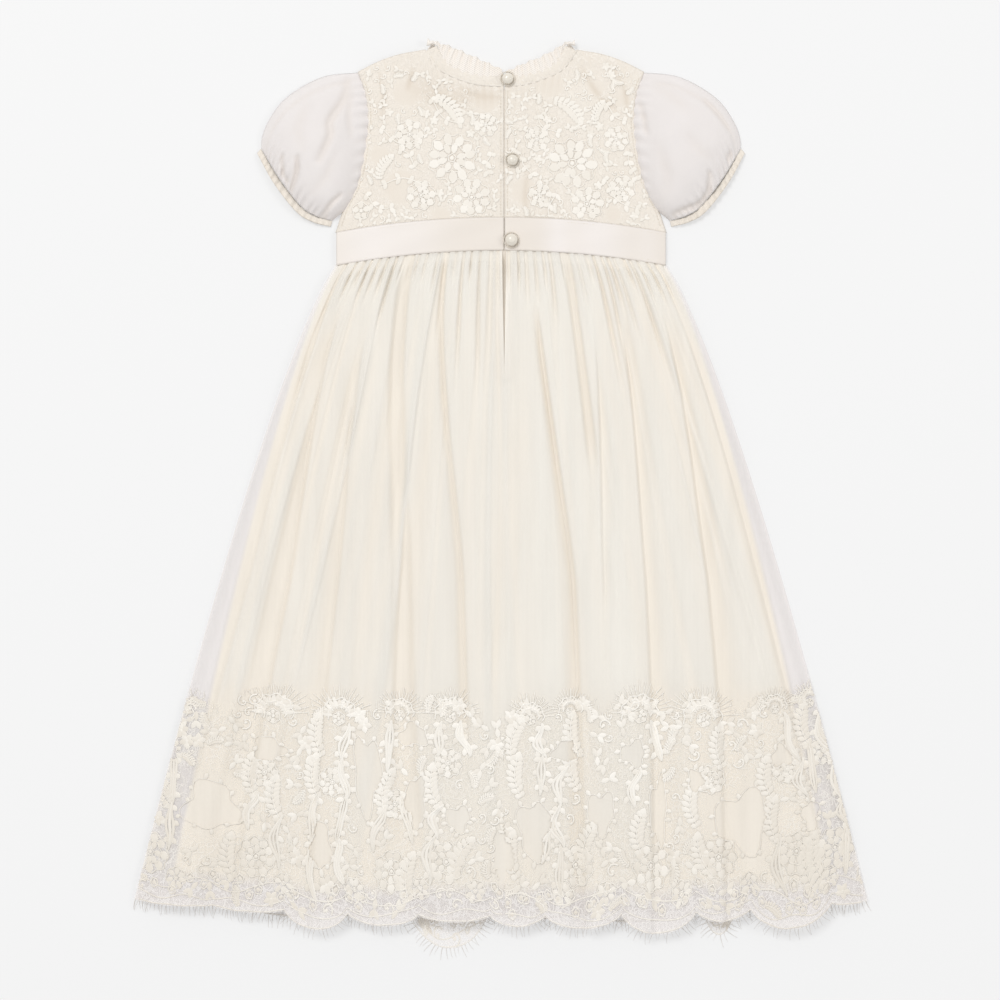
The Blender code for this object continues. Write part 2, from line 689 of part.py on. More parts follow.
def flat_motif(name, outline):
    """A flat cut-out of lace that follows the bodice's crown."""
    bm = bmesh.new()
    bmesh.ops.create_circle(bm, cap_ends=True, segments=len(outline), radius=1.0)
    for vert, (x, y) in zip(bm.verts, outline):
        vert.co = Vector((x, y, back_height(x, y) + BODICE + 1.5 * GAP)) * MM
    face_up(bm)
    finish(name, bm, IVORY_LACE, TRIM_WALL)


def build_sprays():
    """Flowers and leaves of lace on the back bodice."""
    for i, (across, up, radius, petals, turn) in enumerate(BLOSSOMS):
        outline = []
        for k in range(3 * petals):
            angle = 2.0 * math.pi * k / (3 * petals)
            reach = radius * (0.80 + 0.20 * math.cos(petals * angle))
            turned = angle + math.radians(turn)
            outline.append((across + reach * math.cos(turned), up + reach * math.sin(turned)))
        flat_motif(f"lace_blossom_{i + 1}", outline)
    for i, (across, up, long, wide, turn) in enumerate(LEAVES):
        tilt = math.radians(turn)
        outline = []
        for k in range(12):
            angle = 2.0 * math.pi * k / 12
            along, out = long * math.cos(angle), wide * math.sin(angle) * (1.0 - 0.35 * math.cos(angle))
            x = across + along * math.cos(tilt) - out * math.sin(tilt)
            outline.append((x, up + along * math.sin(tilt) + out * math.cos(tilt)))
        flat_motif(f"lace_leaf_{i + 1}", outline)


def build_fastenings():
    """Each pearl stands on the right back half, and its thread loop lies round it."""
    for i, (across, up, radius) in enumerate(PEARLS):
        cloth = SATIN if up < BAND_TOP else BODICE
        seat = Vector((across, up, back_height(across, up) + cloth + 1.3 * GAP)) * MM
        bm = bmesh.new()
        bmesh.ops.create_uvsphere(bm, u_segments=10, v_segments=6, radius=radius * MM)
        bmesh.ops.scale(bm, verts=bm.verts, vec=(1.0, 1.0, PEARL_FLATNESS))
        bmesh.ops.translate(bm, verts=bm.verts, vec=seat + Vector((0.0, 0.0, radius * PEARL_FLATNESS)) * MM)
        pearl = finish(f"pearl_button_{i + 1}", bm, PEARL)
        pearl.data.shade_smooth()
        bpy.ops.mesh.primitive_torus_add(
            major_segments=12, minor_segments=4,
            major_radius=(radius + GAP + LOOP_CORD) * MM, minor_radius=LOOP_CORD * MM,
            location=seat + Vector((0.0, 0.0, LOOP_CORD)) * MM,
        )
        loop = bpy.context.active_object
        loop.name = f"button_loop_{i + 1}"
        for holder in loop.users_collection:
            holder.objects.unlink(loop)
        parts.objects.link(loop)
        loop.data.materials.append(material_of(IVORY_LACE))


clear_scene()
build_front_lace()
build_front_net()
build_silk()
build_back_net()
build_back_lace()
build_fringes()
build_bodice()
build_waistband()
build_placket()
build_neck()
build_sleeves()
build_sprays()
build_fastenings()
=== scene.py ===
import math
import random
from math import cos, pi, sin

import bmesh
import bpy
import numpy as np
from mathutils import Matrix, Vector


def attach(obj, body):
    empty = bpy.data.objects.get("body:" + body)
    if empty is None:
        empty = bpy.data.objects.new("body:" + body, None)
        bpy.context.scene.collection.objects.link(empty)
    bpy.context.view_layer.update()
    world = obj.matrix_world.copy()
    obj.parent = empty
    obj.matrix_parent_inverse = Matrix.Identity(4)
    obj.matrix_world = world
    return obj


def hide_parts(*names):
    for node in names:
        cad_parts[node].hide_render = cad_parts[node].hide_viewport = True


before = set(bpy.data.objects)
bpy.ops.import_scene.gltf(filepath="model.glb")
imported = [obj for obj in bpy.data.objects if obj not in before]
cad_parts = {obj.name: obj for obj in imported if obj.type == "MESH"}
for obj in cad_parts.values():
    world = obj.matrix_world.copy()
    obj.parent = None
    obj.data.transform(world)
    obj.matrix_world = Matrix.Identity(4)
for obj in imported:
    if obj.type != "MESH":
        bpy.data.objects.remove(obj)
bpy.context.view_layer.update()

# Silk underskirt
# Two flared panels of plain silk hang inside the net, a front and a back, and are sewn into the
# waistband. They are narrower and a little shorter than the net, and lie in soft waves.
MM = 0.001
WAIST_HALF, WAIST_Y, WAIST_ARCH = 122.6, 174, 11
SKIRT_FLARE, FLARE_POWER = 152.6, 0.78
HEM_DROP, HEM_BELLY, SILK_DROP, SILK_INSET = 476, 12, 460, 24
CENTRE_BACK = 2.4


def mix(a, b, share):
    return a + (b - a) * share


def smooth(low, high, x):
    share = np.clip((x - low) / (high - low), 0, 1)
    return share * share * (3 - 2 * share)


def bell(x, width, power=2):
    """1 at x = 0, falling away over that width; a higher power gives a flat top with crisp sides."""
    return np.exp(-np.abs(x / width) ** power)


def waist_arch(x):
    return WAIST_ARCH * (1 - np.minimum(1, (x / WAIST_HALF) ** 2))


def skirt_half(v):
    return WAIST_HALF + SKIRT_FLARE * v**FLARE_POWER


def lobe_drop(x, lobes):
    drop = np.zeros_like(x)
    for start, end, depth in lobes:
        f = np.clip((x - start) / (end - start), 0, 1)
        drop = np.maximum(drop, depth * (4 * f * (1 - f)) ** 0.7)
    return drop


def skirt_y(x, v, lobes=()):
    """How far up the gown a point of the skirt lies: v runs from 0 at the waist to 1 at the hem."""
    share = np.minimum(1, np.abs(x) / skirt_half(v))
    down = v * (HEM_DROP + HEM_BELLY * (1 - share**2)) + lobe_drop(x, lobes) * smooth(0.9, 1, v)
    return WAIST_Y + waist_arch(x * WAIST_HALF / skirt_half(v)) * (1 - v) - down


def lace_lift(v):
    """The layers rise a little where the front lace lies under them."""
    return 1.3 * smooth(0.57, 0.66, v)


def shares(columns, rows, spread=1):
    """Two arrays of shares from 0 to 1, across and down; a spread above 1 crowds the first rows."""
    return np.meshgrid(np.linspace(0, 1, columns + 1), np.linspace(0, 1, rows + 1) ** spread)


def settled(piece):
    """Turns the piece and its modifiers into one plain mesh."""
    graph = bpy.context.evaluated_depsgraph_get()
    mesh = bpy.data.meshes.new_from_object(
        piece.evaluated_get(graph), preserve_all_data_layers=True, depsgraph=graph
    )
    piece.modifiers.clear()
    piece.data = mesh


def shown(name, mesh, finish):
    mesh.materials.append(finish)
    mesh.shade_smooth()
    piece = bpy.data.objects.new(name, mesh)
    bpy.context.scene.collection.objects.link(piece)
    return piece


def cloth(name, x, y, z, finish, wall=0, up=True, closed=False, **marks):
    """A sheet from rows of points in mm. wall thickens it to both sides, and marks are kept at each point."""
    rows, columns = x.shape
    across = np.arange(columns if closed else columns - 1)
    first = np.arange(rows - 1)[:, None] * columns
    near, far = (first + across).ravel(), (first + (across + 1) % columns).ravel()
    faces = np.stack([near, far, far + columns, near + columns], axis=1)
    spots = np.stack([x, y, z], axis=-1).reshape(-1, 3)
    a, b, d = (spots[faces[:, i]] for i in (0, 1, 3))
    leaning = np.cross(b - a, d - a)[:, 2] * (spots[faces].mean(axis=1)[:, 2] - spots[:, 2].mean() + 1e-6
            if closed else 1)
    if (leaning.sum() > 0) != up:
        faces = faces[:, ::-1]
    mesh = bpy.data.meshes.new(name)
    mesh.from_pydata((spots * MM).tolist(), [], faces.tolist())
    for mark, numbers in marks.items():
        numbers = np.broadcast_to(numbers, x.shape).astype(np.float32)
        mesh.attributes.new(mark, "FLOAT", "POINT").data.foreach_set("value", numbers.ravel())
    piece = shown(name, mesh, finish)
    if wall:
        shell = piece.modifiers.new("wall", "SOLIDIFY")
        shell.thickness, shell.offset = wall * MM, 0
        settled(piece)
    return piece


def sewn(piece, slot, *nodes):
    """The piece rides on the gown's one body and stands for those solids, which are hidden; slot is not used.
    """
    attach(piece, "root")
    if nodes:
        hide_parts(*nodes)
    return piece


def dye(red, green, blue):
    """A colour as seen on a screen, from 0 to 255, as the light that it reflects."""
    light = [((c / 255 + 0.055) / 1.055) ** 2.4 for c in (red, green, blue)]
    return (*light, 1)


def add_node(tree, kind, inputs=(), **settings):
    """Adds a node. inputs maps its sockets' names or numbers to values, sockets or Amounts."""
    node = tree.nodes.new(kind)
    for setting, value in settings.items():
        setattr(node, setting, value)
    for key, value in dict(inputs).items():
        value = getattr(value, "socket", value)
        if isinstance(value, bpy.types.NodeSocket):
            tree.links.new(value, node.inputs[key])
        else:
            node.inputs[key].default_value = value
    return node


class Amount:
    """A number that a node tree works out. Sums written with it become Math nodes."""

    def __init__(self, socket):
        self.socket = socket

    def sum(self, operation, *others):
        inputs = dict(enumerate((self, *others)))
        node = add_node(self.socket.id_data, "ShaderNodeMath", inputs, operation=operation)
        return Amount(node.outputs[0])

    def __add__(self, other):
        return self.sum("ADD", other)

    def __sub__(self, other):
        return self.sum("SUBTRACT", other)

    def __mul__(self, other):
        return self.sum("MULTIPLY", other)

    def __rsub__(self, other):
        return self * -1 + other

    __radd__ = __add__
    __rmul__ = __mul__

    def between(self, low, high):
        """0 below low and 1 above high, with a smooth step between them."""
        node = add_node(self.socket.id_data, "ShaderNodeMapRange", {0: self, 1: low, 2: high},
                interpolation_type="SMOOTHSTEP")
        return Amount(node.outputs[0])


class Finish:
    """A material being mixed. Its patterns are measured in mm on the gown."""

    def __init__(self, name, **sockets):
        self.made = bpy.data.materials.new(name)
        self.made.use_nodes = True
        self.tree = self.made.node_tree
        self.shader = self.tree.nodes["Principled BSDF"]
        for socket, value in sockets.items():
            self.shader.inputs[socket.replace("_", " ")].default_value = value
        coordinates = self.add("ShaderNodeTexCoord").outputs["Object"]
        self.place = self.add("ShaderNodeVectorMath", {0: coordinates, "Scale": 1000},
                operation="SCALE").outputs[0]
        parts = self.add("ShaderNodeSeparateXYZ", {0: self.place}).outputs
        self.x, self.y, self.z = (Amount(part) for part in parts)

    def add(self, kind, inputs=(), **settings):
        return add_node(self.tree, kind, inputs, **settings)

    def mottle(self, size, detail=2, stretch=(1, 1, 1)):
        """Soft blotches of that size, longer where stretch is above 1."""
        place = self.add("ShaderNodeVectorMath", {0: self.place, 1: tuple(1 / s for s in stretch)},
                operation="MULTIPLY").outputs[0]
        return Amount(self.add("ShaderNodeTexNoise", {"Vector": place, "Scale": 1 / size,
                "Detail": detail}).outputs[0])

    def threads(self, along, pitch):
        """Ridges from 0 to 1 at that pitch."""
        return (along * (2 * pi / pitch)).sum("SINE") * 0.5 + 0.5

    def mesh_holes(self, pitch):
        """A six-sided net: high in its holes and low on its threads."""
        turn = 2 * pi / pitch
        waves = [(self.x * (turn * cos(a)) + self.y * (turn * sin(a))).sum("COSINE")
                for a in (0, pi / 3, 2 * pi / 3)]
        return waves[0] + waves[1] + waves[2]

    def curly_cords(self, size, thick=0.03):
        """1 on cords that wander and curl at that size, and 0 between them."""
        line = (self.mottle(size, 1) - 0.5).sum("ABSOLUTE").between(thick, 0.3 * thick)
        second = (self.mottle(size * 0.8, 1, (1, 1.3, 1)) - 0.52).sum("ABSOLUTE")
        return line.sum("MAXIMUM", second.between(thick, 0.3 * thick))

    def mark(self, name):
        """A number kept at the cloth's points."""
        return Amount(self.add("ShaderNodeAttribute", attribute_name=name).outputs["Fac"])

    def blend(self, factor, first, second):
        return self.add("ShaderNodeMix", {0: factor, 6: first, 7: second}, data_type="RGBA").outputs[2]

    def colour(self, factor, first, second):
        """The cloth's colour, mixed from two dyes."""
        self.give("Base Color", self.blend(factor, dye(*first), dye(*second)))

    def give(self, socket, value):
        value = getattr(value, "socket", value)
        self.tree.links.new(value, self.shader.inputs[socket])

    def relief(self, height, depth):
        """Raises the surface by that depth in mm where height is 1."""
        bump = self.add("ShaderNodeBump", {"Height": height, "Distance": depth * MM})
        self.give("Normal", bump.outputs[0])


silk = Finish("underskirt silk", Sheen_Weight=0.15, Specular_IOR_Level=0.3)
slubs = silk.mottle(1.4, 3, (9, 1, 1))
silk.colour(silk.mottle(55) * 0.7 + slubs * 0.3, (251, 249, 243), (246, 243, 235))
silk.give("Roughness", slubs * 0.2 + 0.42)
silk.relief(silk.threads(silk.x, 0.5) * silk.threads(silk.y, 0.42) * 0.5 + slubs, 0.05)


def silk_half(v):
    return skirt_half(v) - 1.5 - SILK_INSET * v


def silk_spots(columns, rows, lower):
    u, v = shares(columns, rows)
    x = mix(-1, 1, u) * silk_half(v)
    down = v * SILK_DROP / HEM_DROP
    return x, v, skirt_y(x, down) - 1 + v - lower * (1 - v), lace_lift(down) + 1.8


x, v, y, z = silk_spots(90, 70, 0)
creases = 0.16 * (np.sin(x / 9 + 2 * v) * np.sin(4 * v + x / 40))
front_silk = cloth("underskirt_front_panel", x, y, z + creases, silk.made, 0.35, up=False)
x, v, y, z = silk_spots(200, 80, 8)
inside = smooth(1, 0.8, np.abs(x) / silk_half(v)) * smooth(4, 24, np.abs(x - CENTRE_BACK))
waves = 0.55 * (1 - np.cos(x / 13 + 3 * v)) * inside
creases = 0.14 * np.sin(x / 5 + 5 * np.sin(2.2 * v)) * inside
back_silk = cloth("underskirt_back_panel", x, y, z + 1.3 + waves + creases, silk.made, 0.35)
for piece, node in ((front_silk, "silk_skirt_front"), (back_silk, "silk_skirt_back")):
    sewn(piece, "silk", node)

# Net skirt
# The outer skirt is fine cotton net, gathered hard into the waistband on three panels: a front and
# two back halves with a slit below the waist. The folds fan out from the gathers down to the hem.
FOLDS = (  # waist, mid and hem as shares of the half width, start, end, left, right, depth, crispness
    (-0.93, -0.9, -0.93, 0.02, 0.9, 5, 2, 3, 2),
    (-0.86, -0.757, -0.745, 0.05, 1.1, 13, 2.2, 4.5, 2),
    (-0.7, -0.585, -0.53, 0.1, 1.1, 10, 2, 3.6, 2),
    (-0.54, -0.35, -0.23, -0.1, 0.95, 8, 6.5, 4.6, 4),
    (-0.33, -0.14, -0.07, -0.1, 0.8, 4, 2, 4, 2),
    (0.17, 0.255, 0.22, 0.05, 1.1, 4.5, 2, 5.4, 2),
    (0.38, 0.37, 0.32, -0.1, 0.38, 5, 4, 4.8, 3),
    (0.49, 0.37, 0.26, 0.1, 0.6, 2, 7, 3.4, 2),
    (0.63, 0.52, 0.42, 0.05, 1.1, 2, 9, 4, 2),
    (0.86, 0.74, 0.62, 0.05, 1.1, 2.2, 9, 4.6, 2),
    (0.93, 0.92, 0.91, 0.05, 0.95, 2, 6, 3.4, 2),
)
BACK_LOBES = (  # where each scallop starts and ends, and how far it hangs
    (-277, -216, 2), (-216, -162, 3), (-162, -115, 13.5), (-115, -62, 9),
    (-62, -8, 5), (-8, 33, 8.5), (33, 90, 10.7), (90, 146, 16),
    (146, 187, 9), (187, 247, 17.5), (247, 277, 3),
)
FRONT_LOBES = (
    (-277, -190, 1), (-190, -130, 6), (-130, -75, 5), (-68, -10, 26),
    (-10, 60, 4), (60, 152, 8), (152, 176, 20), (176, 277, 3),
)
GATHERS, GATHER_HEIGHT, LOFT = 20, 2.6, 7.4
SLIT_SHARE = 97 / HEM_DROP

net = Finish("fine net", Roughness=0.8, Sheen_Weight=0.1, Specular_IOR_Level=0.2)
# Painted shade: the fold mark mixes the net towards a darker, warmer dye in its folds, under the lace and
# towards its sides, and makes it more opaque there.
fold = net.mark("fold")
folded = net.blend(fold * 0.85 + net.mottle(30) * 0.1, dye(254, 250, 242), dye(237, 229, 217))
net.give("Base Color", net.blend(net.mark("lined"), dye(242, 237, 235), folded))
net.give("Alpha", net.mesh_holes(1).between(1.3, 0.1) * 0.08 + net.mottle(9, 2, (1, 12, 1)) * 0.15
        + fold * 0.25 + net.mark("lined") * 0.28 + 0.3)
net.relief(net.mesh_holes(1) * -0.3, 0.015)


def lined(x, v, beside=0):
    """1 where the silk lies behind the net, beside where it is too narrow and 0 below its hem."""
    return smooth(0.965, 0.945, v) * mix(beside, 1, smooth(2, -2, np.abs(x) - silk_half(v)))


def fold_depth(x, v, row):
    waist, mid, hem, start, end, left, right, depth, crisp = row
    upper = mix(waist, mid, 0.4 * smooth(0, 1, 2 * v) + 1.2 * v)
    line = np.where(v < 0.5, upper, mix(mid, hem, 2 * v - 1))
    away = x - line * skirt_half(v)
    width = np.where(away < 0, left, right) * (0.55 + 0.9 * v)
    fades = smooth(start, start + 0.12, v) * (1 - smooth(end - 0.12, end, v))
    return depth * fades * bell(away, width, crisp)


chance = random.Random(7)
STREAKS = [  # soft ridges and dips between the main folds
    (chance.uniform(-0.96, 0.96), chance.uniform(-0.03, 0.03), chance.uniform(2.2, 9),
     chance.choice((-1, 1)) * chance.uniform(0.3, 1), chance.uniform(-0.2, 0.3),
     chance.uniform(0.4, 1.25))
    for _ in range(90)
]


def streaks(x, v):
    total = np.zeros_like(x)
    for at, drift, width, height, start, end in STREAKS:
        away = x - (at + drift * np.sin(5 * v + 9 * at)) * skirt_half(v)
        fades = smooth(start, start + 0.2, v) * (1 - smooth(end - 0.25, end, v))
        total += height * fades * bell(away, width * (0.4 + 0.9 * v), 2 + 2 * (away * height > 0))
    return total


def net_form(x, v, gathers=0):
    """The height of the back net's middle, and how much painted shade each point takes: more the deeper it
    lies in a fold, and more under the lace and towards the sides.
    """
    reach = np.abs(x) / skirt_half(v)
    loft = mix(4.6, LOFT, smooth(0, 0.3, v))
    soft = streaks(x, v)
    rise = loft - sum(fold_depth(x, v, row) for row in FOLDS) + soft + gathers
    rise = np.maximum(1.6, rise) * smooth(1, 0.9, reach)
    at_edge = mix(3.9, 1.3, smooth(0, 0.45, v))
    # Painted shade: darker the deeper a point lies in a fold or in a streak's dip.
    net_shade = np.clip((loft + 1.8 - rise - 1.6 * soft) / 6, 0, 1) * smooth(1, 0.93, reach)
    # More painted shade under the lace, stronger towards the sides and the hem, and a little towards the
    # sides of the skirt.
    shade_under_lace = 0.15 + 0.55 * smooth(30, 200, np.abs(x)) + 0.3 * smooth(0.8, 0.93, v)
    shade_under_lace = shade_under_lace * smooth(0.64, 0.7, v)
    net_shade = np.clip(net_shade + (shade_under_lace + 0.22 * smooth(0.3, 0.75, reach)) * smooth(1, 0.93, reach), 0, 1)
    return lace_lift(v) + mix(at_edge, 3.9, smooth(1, 0.955, reach)) + rise + 0.5, net_shade


def back_height(x, y):
    """The lower face of the bodice's back and of its ribbon, crowned over the underlap."""
    across = 1 - np.minimum(1, (x / 124) ** 2)
    return 1.5 + mix(2.8, 1.9, smooth(200, 320, y)) * across**0.6


def slit_half(v):
    return mix(1.5, 0, smooth(0, SLIT_SHARE, v))


def net_spots(side, columns, rows, spread=1.3):
    """The points of a back half, from its side seam in to the centre back."""
    u, v = shares(columns, rows, spread)
    across = u + 0.22 / GATHERS * np.sin(9 * u) * np.sin(pi * u)
    x = mix(side * skirt_half(v), CENTRE_BACK + side * slit_half(v), across)
    puff = GATHER_HEIGHT * (1 - smooth(0, 0.13, v)) * (1 - 0.5 * smooth(0.03, 0, v))
    luck = random.Random(11 if side < 0 else 12)
    for n in range(GATHERS):
        reach = luck.choice((0.06, 0.08, 0.11, 0.16, 0.26))
        drift = luck.uniform(-0.5, 0.5) * smooth(0, 0.3, v)
        away = u * GATHERS - n - 0.5 + luck.uniform(-0.22, 0.22) + drift
        crease = bell(away, luck.uniform(0.13, 0.26) * (1 + 2 * v))
        puff = puff - luck.uniform(2.4, 3.8) * crease * (1 - smooth(0.3 * reach, reach, v))
    puff = puff + 0.3 * np.sin(2 * pi * (2.7 * GATHERS * u + 3 * np.sin(8 * u))) * smooth(0.1, 0, v)
    seam = 0.8 * bell(x - CENTRE_BACK, 1.8) * smooth(SLIT_SHARE - 0.05, SLIT_SHARE, v) * smooth(0.68, 0.64, v)
    z, net_shade = net_form(x, v, puff - seam)
    y = skirt_y(x, v, BACK_LOBES) + 1.6 * smooth(0.012, 0, v)
    z = mix(back_height(x, y) + 0.3 + 0.35 * puff, z, smooth(0, 0.022, v))
    return x, y, z, net_shade, lined(x, v)


for side, label in ((-1, "left"), (1, "right")):
    x, y, z, net_shade, over_silk = net_spots(side, 280, 140)
    piece = sewn(cloth(f"net_panel_back_{label}", x, y, z, net.made, fold=net_shade, lined=over_silk),
            "tulle", f"net_skirt_back_{label}")
u, v = shares(220, 76, 1.3)
x = mix(-1, 1, u) * skirt_half(v)
pleats = 0.35 * (1 + np.sin(2 * pi * (41 * u + 0.5 * np.sin(11 * u)))) * smooth(0.14, 0, v)
lines = 0.25 * (1 + np.sin(x / 14 + 4 * np.sin(u * 9))) * smooth(0, 0.2, v) * smooth(1, 0.85, v)
# Painted shade: an even shade on the front net, deeper along its soft lines.
piece = cloth("net_panel_front", x, skirt_y(x, v) - 0.3 * (1 - v), lace_lift(v) + 0.15 + pleats
        + lines, net.made, up=False, fold=0.2 + 0.4 * lines, lined=lined(x, v))
sewn(piece, "tulle", "net_skirt_front")

# Lace border
# A deep corded lace is sewn over the lower third of the net, in a front and two back lengths. Its
# flowers, leaves and stems stand on a finer net, which is cut away between them in places.
WINDOWS = (  # centre across in mm, centre down as a share, half width, half height
    (-217, 0.847, 21, 18), (-174, 0.756, 12, 9), (-135, 0.898, 8, 16),
    (-100, 0.789, 10, 28), (-66, 0.73, 11, 8), (-64, 0.829, 8, 18),
    (-32, 0.854, 9, 9), (2, 0.909, 8, 15), (25, 0.87, 12, 21),
    (48, 0.754, 9, 8), (75, 0.846, 10, 15), (99, 0.758, 9, 9),
    (118, 0.845, 6, 24), (146, 0.802, 6, 8), (181, 0.866, 20, 22),
    (210, 0.77, 8, 8), (232, 0.863, 6, 11), (-247, 0.77, 4, 5),
)
PEAKS = (-292, -244, -170, -121, -76, -38, 22, 52, 104, 151, 205, 232, 285)
LACE_TOP, LACE_LIFT = 317, 0.45
LACE_HALF = skirt_half(0.86)  # half the width over which the border's ground is laid out

lace_ground = Finish("lace ground net", Roughness=0.85, Specular_IOR_Level=0.15)
holes = lace_ground.mesh_holes(1.5).between(1, -0.2)
sheer = lace_ground.mark("sheer")
faded = lace_ground.blend(lace_ground.mottle(14), dye(251, 246, 237), dye(255, 252, 246))
lace_ground.give("Base Color", lace_ground.blend(sheer * 0.8, faded, dye(245, 241, 239)))
meshed = holes * 0.08 + lace_ground.curly_cords(7, 0.05) * 0.4 + sheer * 0.15 + 0.12
lace_ground.give("Alpha", lace_ground.mark("sewn").between(0, 0.8) * meshed)
lace_ground.relief(holes, 0.02)

lace_thread = Finish("lace thread", Roughness=0.75, Sheen_Weight=0.15, Specular_IOR_Level=0.25)
tone = lace_thread.mark("tone")
wound = lace_thread.threads(lace_thread.x * 0.8 + lace_thread.y * 0.6, 0.7)
shade_to_sides_and_hem = (lace_thread.x.sum("ABSOLUTE").between(120, 230) * 0.4
        + lace_thread.y.between(-215, -275) * 0.35)  # painted shade at both sides and towards the hem
lace_thread.colour(tone * 0.85 + lace_thread.mottle(5) * 0.15 - shade_to_sides_and_hem, (232, 225, 214), (250, 246, 239))
lace_thread.relief(wound + lace_thread.mottle(0.8), 0.03)


def window_rim(angle, across):
    """The uneven outline of a window, as a share of its half sizes."""
    return 0.95 + 0.17 * np.sin(3 * angle + across) + 0.12 * np.sin(5 * angle + 2.3 * across)


def window_gap(x, v):
    """Below 0 inside a window that is cut through the lace, and rising outside it."""
    gap = np.full_like(x, 9)
    for across, down, half_width, half_height in WINDOWS:
        out, up = (x - across) / half_width, (down - v) * HEM_DROP / half_height
        gap = np.minimum(gap, np.hypot(out, up) / window_rim(np.arctan2(up, out), across) - 1)
    return gap


def lace_edge(x):
    """How far below the waist the lace's top edge lies: a rounded lobe at each peak."""
    peaks = np.array(PEAKS)
    i = np.clip(np.searchsorted(peaks, x) - 1, 0, len(peaks) - 2)
    gap = peaks[i + 1] - peaks[i]
    near = np.clip(np.abs(2 * (x - peaks[i]) / gap - 1), 0, 1)
    uneven = 1.6 * np.sin(x / 3.7) * np.sin(x / 11) + 2.5 * np.sin(x / 23)
    return LACE_TOP + 9 * bell(x + 8, 26) + 0.45 * gap * (1 - np.sqrt(1 - (1 - near) ** 2)) + uneven


def oval(across, up, wide, high, angle):
    """Points round a spot at those angles."""
    return np.column_stack([across + wide * np.cos(angle), up + high * np.sin(angle)])


def turned(across, up, ahead, aside, turn):
    """A place that lies so far ahead and aside of a spot, looking in the direction of turn."""
    return across + ahead * cos(turn) - aside * sin(turn), up + ahead * sin(turn) + aside * cos(turn)


